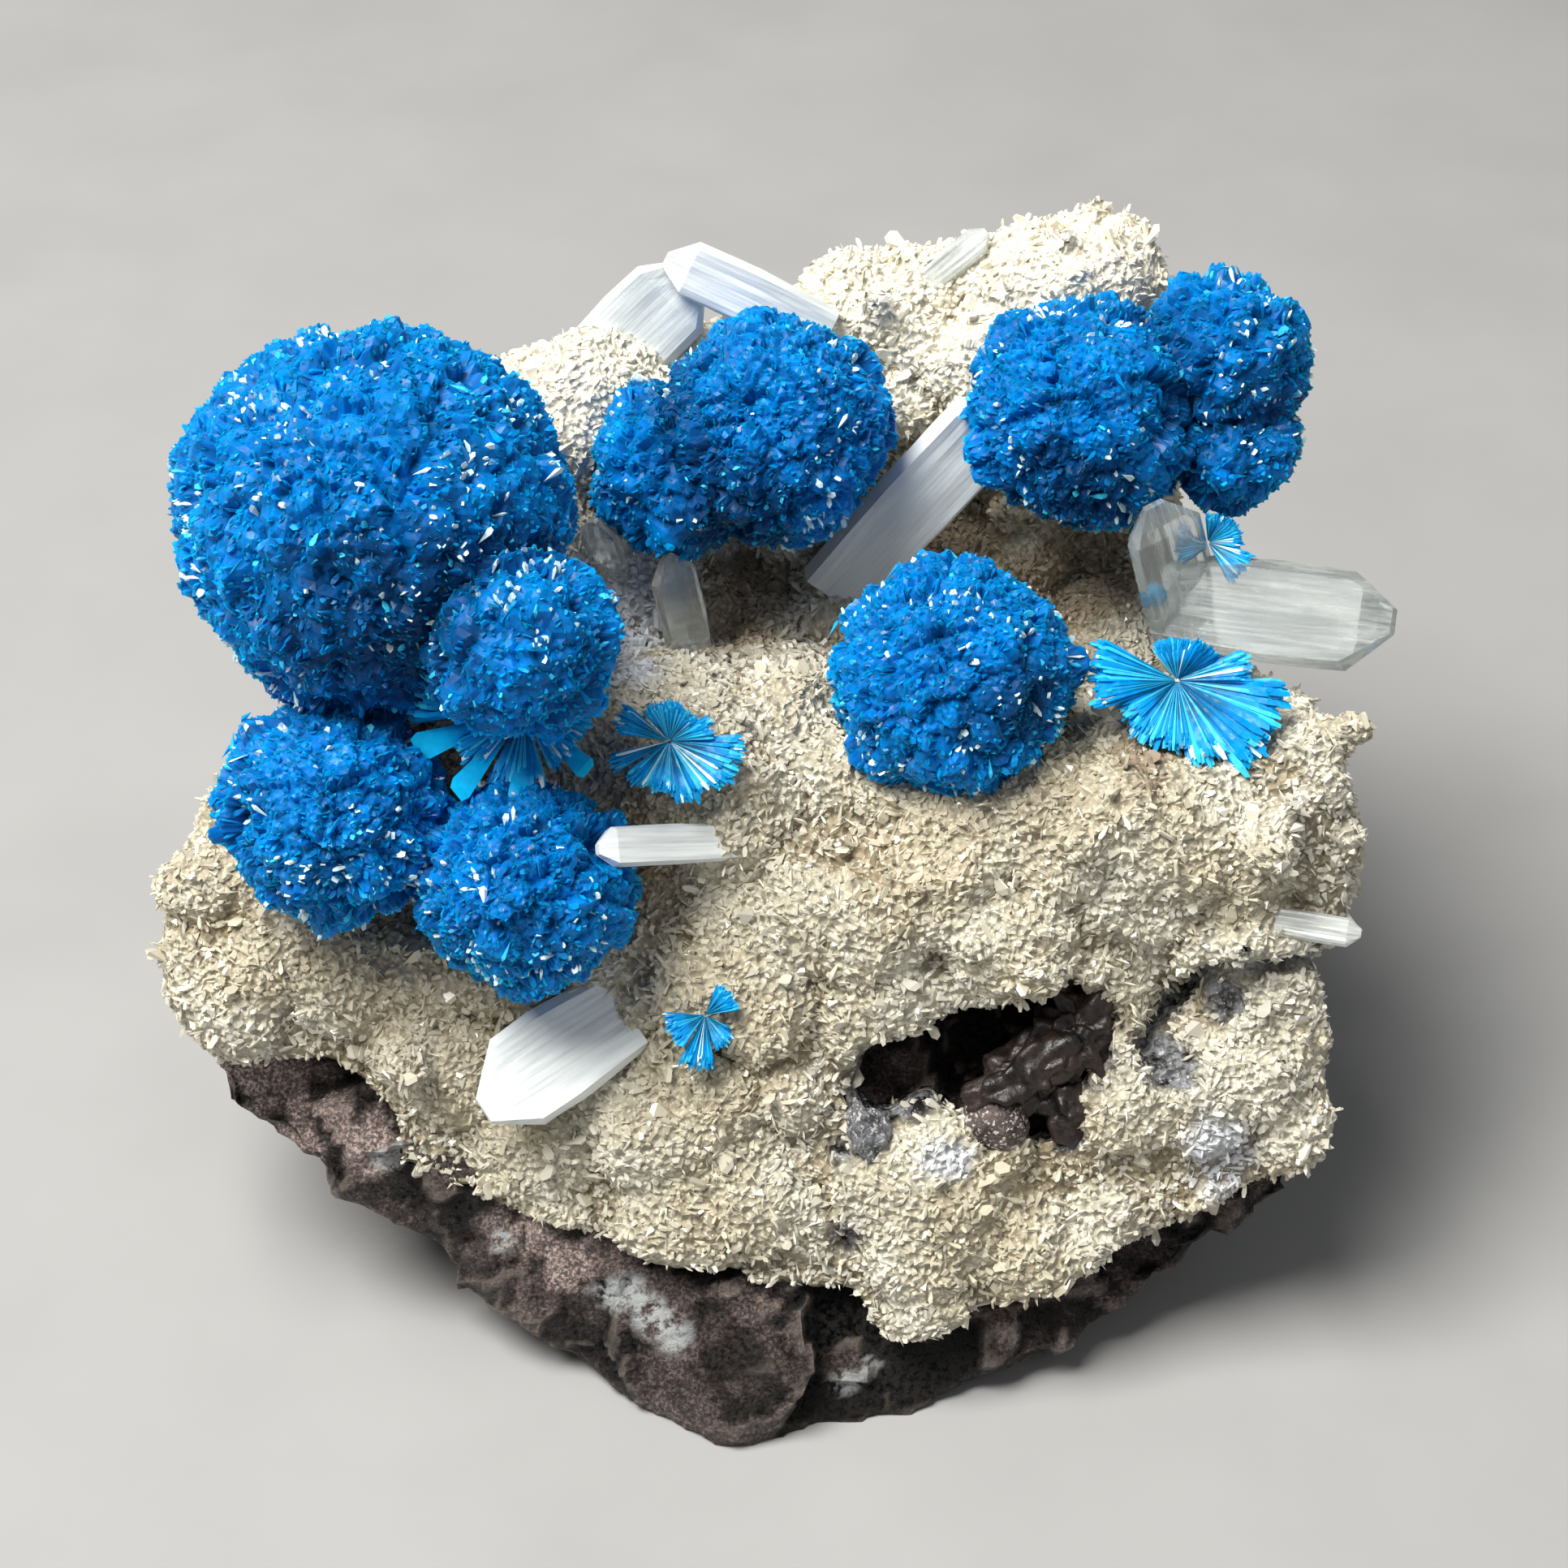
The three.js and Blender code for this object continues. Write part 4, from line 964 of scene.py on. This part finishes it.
def shades_of(count, flecks, pale, rng):
    """A random shade for each blade, with shares of them cyan flecks and pale painted glints."""
    chance = rng.random(count)
    shade = np.where(chance < pale + flecks, FLECK, 0.9 * rng.random(count))
    return np.where(chance < pale, PAINTED_GLINT, shade)


def lumps_on(radius, crests, rng):
    """A function of unit directions that gives how far out a ball's surface is there, how high it
    is within its lumps, from 0 to 1, and which way the blades of its large lump are wide."""
    levels = []
    for area, gap, depth, rise, tilt in LUMPS:
        heading = unit(rng.normal(size=(int(4 * math.pi * radius**2 / area), 3)))
        tree = KDTree(len(heading))
        for k, direction in enumerate(heading):
            tree.insert(direction, k)
        tree.balance()
        rises, tilts = rng.uniform(-rise, rise, len(heading)), rng.normal(0, tilt, heading.shape)
        levels.append((tree, heading, gap, depth, rises, tilts, tangents(heading, rng)))

    def surface(directions):
        out = np.full(len(directions), BODY_SHARE * radius)
        height = np.ones(len(directions))
        fan = None
        for tree, heading, gap, depth, rises, tilts, fans in levels:
            found = [tree.find_n(direction, 2) for direction in directions]
            nearest = np.array([two[0][1] for two in found])
            apart = radius * np.array([two[1][2] - two[0][2] for two in found])
            crown = 1 - (1 - np.clip(apart / gap / 2, 0, 1)) ** 2
            slope = radius * np.sum(tilts[nearest] * (directions - heading[nearest]), axis=1)
            out = out + depth * (crown - 1) + rises[nearest] + slope
            height = height * (1 - (0.2 + depth) * (1 - crown))
            fan = fans[nearest] if fan is None else fan
        for degrees, further, *lift in crests:
            heading = math.radians(degrees)
            rim = unit(np.array([math.cos(heading), math.sin(heading), *(lift or [CREST_LIFT])]))
            away = np.arccos(np.clip(directions @ rim, -1, 1)) / CREST_SPREAD
            out = out + radius * further * np.exp(-(away**2))
        return out, height, fan

    return surface


def painted_lobe_shade_factor(points, others):
    """1 in the open, less towards another lobe and 0 well inside it: how free a point is of the painted
    shade between lobes.
    """
    open_to = np.ones(len(points))
    for other in others:
        clear = np.linalg.norm(points - other[:3], axis=1) - other[3]
        open_to = np.minimum(open_to, np.clip(0.3 + clear / PAINTED_LOBE_SHADE_DEPTH, 0, 1))
    return open_to


def painted_shade_factor(points):
    """1 outside the patches of painted shade, less inside them."""
    return 1 - PAINTED_SHADE_DEPTH * patches(points, PAINTED_SHADE_PATCHES)


def ball(lobe, others, crests, open_at, rng):
    """(points, quads, triangles, tip, shade) of one lobe: a lumpy body, and the blades that
    stand out of it. Blades inside the other lobes are left out."""
    centre, radius = np.array(lobe[:3], float), lobe[3]
    surface = lumps_on(radius, crests, rng)
    detail = 2
    while radius * math.sqrt(4 * math.pi / (10 * 4**detail)) > BODY_SPACING:
        detail += 1
    directions, triangles = round_mesh(detail + 1)
    out, height, _ = surface(directions)
    grain = rng.normal(0, BODY_GRAIN, len(directions))
    points = centre + directions * (out + grain)[:, None]
    # Painted shade: the body is darker low in its lumps, near other lobes and in the patches of painted
    # shade.
    tips = (BODY_TIP + BODY_TIP_TOP * height * painted_lobe_shade_factor(points, others)) * painted_shade_factor(points)
    body = (points, np.empty((0, 4), np.int32), triangles, tips, np.full(len(points), 0.45))

    aim = sphere_directions(int(4 * math.pi * radius**2 * BLADES_PER_AREA), rng)
    out, height, fan = surface(aim)
    end = centre + aim * (out + rng.uniform(*BLADE_REACH, len(aim)))[:, None]
    kept = open_at(end) & (height > BLADE_LOWEST)
    for other in others:
        kept &= np.linalg.norm(end - other[:3], axis=1) > BLADE_CLEAR * other[3]
    aim, end, height, fan = aim[kept], end[kept], height[kept], fan[kept]
    count = len(end)
    # Painted glints gather in clusters and stand a little further out.
    gather = np.clip(1.5 * noise(end, 2.2, 77), 0, 1)
    shade = shades_of(count, FLECKS_IN_BALL, PAINTED_GLINTS_IN_BALL * gather, rng)
    end = end + aim * (PAINTED_GLINT_REACH * (shade == PAINTED_GLINT))[:, None]
    made = wedges(
        end - BLADE_ROOT * unit(aim + rng.normal(0, BLADE_SPREAD, aim.shape)), end,
        fan + rng.normal(0, 0.6, fan.shape), rng.uniform(*BLADE_WIDTH, count),
        rng.uniform(*BLADE_THICKNESS, count), shoulder=0.8, slant=rng.uniform(-0.5, 0.5, count), edge=0.6,
    )
    # Painted light and shade: a blade is paler in the open, on a lump's top, where it stands out and
    # towards its tip, and darker near other lobes and in the patches of painted shade.
    proud = np.linalg.norm(end - centre, axis=1) - BODY_SHARE * radius
    added = BLADE_TIP_OPEN + BLADE_TIP_TOP * height + BLADE_TIP_PROUD * np.clip(proud, -0.3, 0.6)
    bright = (BLADE_TIP + added * painted_lobe_shade_factor(end, others)) * painted_shade_factor(end)
    tips = bright[:, None] * (0.8 + 0.26 * WEDGE_HEIGHTS)
    return joined([body, (*made, tips.ravel(), np.repeat(shade, WEDGE_POINTS))])


def rosette(centre, fans, rng):
    """(points, quads, triangles, tip, shade) of fans of blades that share one root."""
    centre = np.array(centre, float)
    parts = []
    for heading, lift, turn, spread, reach in fans:
        place = np.array(
            Matrix.Rotation(math.radians(heading), 3, "Z")
            @ Matrix.Rotation(math.radians(-lift), 3, "Y")
            @ Matrix.Rotation(math.radians(turn), 3, "X")
        )
        for layer in range(-FAN_LAYERS, FAN_LAYERS + 1):
            count = max(7, int(spread / FAN_BLADE))
            angle = np.radians(np.linspace(-0.5, 0.5, count) * (spread - 3 * abs(layer)))
            angle = angle + rng.normal(0, 0.03, count)
            tooth = 1 - TOOTH_DEPTH * np.abs(np.sin(angle * 9 + 2 * layer))
            far = reach * tooth * rng.uniform(0.9, 1.0, count) * (1 - 0.1 * rng.random(count) * abs(layer))
            rise = layer * 0.04 + rng.normal(0, 0.012, count)
            aim = unit(np.stack([np.cos(angle), np.sin(angle), rise], 1))
            side = np.stack([-np.sin(angle), np.cos(angle), rng.normal(0, 0.12, count)], 1)
            tip = centre + (aim * far[:, None]) @ place.T
            root = centre + (aim * 0.1) @ place.T
            width = far * math.radians(spread) / count * rng.uniform(1.3, 2.2, count)
            made = wedges(
                root, tip, side @ place.T, width, rng.uniform(0.1, 0.18, count),
                shoulder=0.9, slant=rng.uniform(-0.6, 0.6, count), edge=0.6,
            )
            shade = np.repeat(shades_of(count, FLECKS_IN_ROSETTE, PAINTED_GLINTS_IN_ROSETTE, rng), WEDGE_POINTS)
            # Painted light: each blade is paler towards its tip.
            tips = np.tile(ROSETTE_TIP + 0.26 * WEDGE_HEIGHTS, count)
            parts.append((*made, tips, shade))
    return joined(parts)


def rods(members, rng):
    """(points, quads, triangles, tip, shade) of thick single blades."""
    root, tip = (np.array([member[k] for member in members], float) for k in (0, 1))
    width, thick = (np.array([member[k] for member in members]) for k in (2, 3))
    across = np.cross(tip - root, [0, 0, 1]) + rng.normal(0, 0.4, root.shape)
    slant = rng.uniform(-0.3, 0.3, len(root))
    made = wedges(root, tip, across, width, thick, shoulder=0.93, slant=slant, edge=0.7)
    # Painted light: each blade is paler towards its tip.
    tips = np.tile(0.75 + 0.22 * WEDGE_HEIGHTS, len(root))
    return (*made, tips, np.full(len(tips), 0.5))


def open_over(surface):
    """A test of whether each of some points stands clear of a surface."""

    def test(points):
        clear = []
        for point in points:
            near, normal, _, away = surface.find_nearest(Vector(point))
            height = (Vector(point) - near).dot(normal)
            clear.append(height > -SUNK_AT_MOST or away > CRUST_REACH)
        return np.array(clear)

    return test


def build_dot(material):
    directions, triangles = round_mesh(4)
    centre, radius = DOT
    points = centre + radius * directions * (1 + 0.2 * fractal(50 + directions, 0.6, 5))[:, None]
    flat = np.ones(len(points))
    values = {"tip": 0.95 * flat, "shade": 0.4 * flat}
    dress(new_object("cavansite_dot", points, [triangles], material, values, smooth=True), "cavansite")


def build_cavansite(material, crust):
    points, _, triangles = face_arrays(crust.data)
    open_at = open_over(BVHTree.FromPolygons(points.tolist(), triangles.tolist()))
    for seed, name in enumerate([*LOBES, *ROSETTES]):
        rng = np.random.default_rng(100 + seed)
        parts = []
        lobes = LOBES.get(name, [])
        for k, lobe in enumerate(lobes):
            crests = [crest[1:] for crest in CRESTS[name] if crest[0] == k]
            others = [other for other in lobes if other is not lobe]
            parts.append(ball(lobe, others, crests, open_at, rng))
        if name in ROSETTES:
            parts.append(rosette(*ROSETTES[name], rng))
        if name == "cavansite_cluster_left":
            parts.append(rosette(*SPRAY, rng))
            parts.append(rods(RODS, rng))
        made, quads, triangles, tip, shade = joined(parts)
        values = {"tip": tip, "shade": shade}
        piece = new_object(name + "_crystals", made, [quads, triangles], material, values)
        dress(piece, "cavansite", name)


# Floor and light, in metres.

FLOOR_REACH = 0.9
# Soft square lights: place, size, watts and colour.
LIGHTS = {
    "key": ((-0.19, -0.07, 0.46), 0.28, 4.5, (1.0, 0.98, 0.93)),
    "fill": ((0.3, -0.35, 0.35), 0.4, 0.25, (0.95, 0.97, 1.0)),
}
LIGHT_AIM = (0, 0, 0.025)
ROOM_COLOUR = (0.95, 0.97, 1.0, 1)
ROOM_STRENGTH = 0.16


def add_stage():
    corners = [(FLOOR_REACH * a, FLOOR_REACH * b, 0) for a, b in ((-1, -1), (1, -1), (1, 1), (-1, 1))]
    mesh = bpy.data.meshes.new("floor")
    mesh.from_pydata(corners, [], [(0, 1, 2, 3)])
    mesh.materials.append(floor_material())
    floor = bpy.data.objects.new("floor", mesh)
    bpy.context.collection.objects.link(floor)


def add_light(name, place, size, watts, colour):
    light = bpy.data.lights.new(name, "AREA")
    light.size = size
    light.energy = watts
    light.color = colour
    holder = bpy.data.objects.new(name, light)
    aim = Vector(LIGHT_AIM) - Vector(place)
    holder.matrix_world = Matrix.Translation(place) @ aim.to_track_quat("-Z", "Y").to_matrix().to_4x4()
    bpy.context.collection.objects.link(holder)


def add_lights():
    for name, settings in LIGHTS.items():
        add_light(name, *settings)
    world = bpy.data.worlds.new("room")
    world.use_nodes = True
    background = world.node_tree.nodes["Background"]
    background.inputs["Color"].default_value = ROOM_COLOUR
    background.inputs["Strength"].default_value = ROOM_STRENGTH
    bpy.context.scene.world = world
    bpy.context.scene.view_settings.view_transform = "Standard"


add_camera()
add_stage()
add_lights()
build_basalt(basalt_material())
build_bosses({
    "glaze": dark_glaze_material(),
    "brown": dusted_rock("brown_rock", (0.03, 0.02, 0.019), (0.15, 0.11, 0.1)),
    "grey": dusted_rock("grey_rock", (0.03, 0.03, 0.033), (0.26, 0.27, 0.3)),
})
crust_body = build_crust(druse_body_material(), druse_crystal_material())
build_blades(stilbite_material())
blue = cavansite_material()
build_cavansite(blue, crust_body)
build_dot(blue)
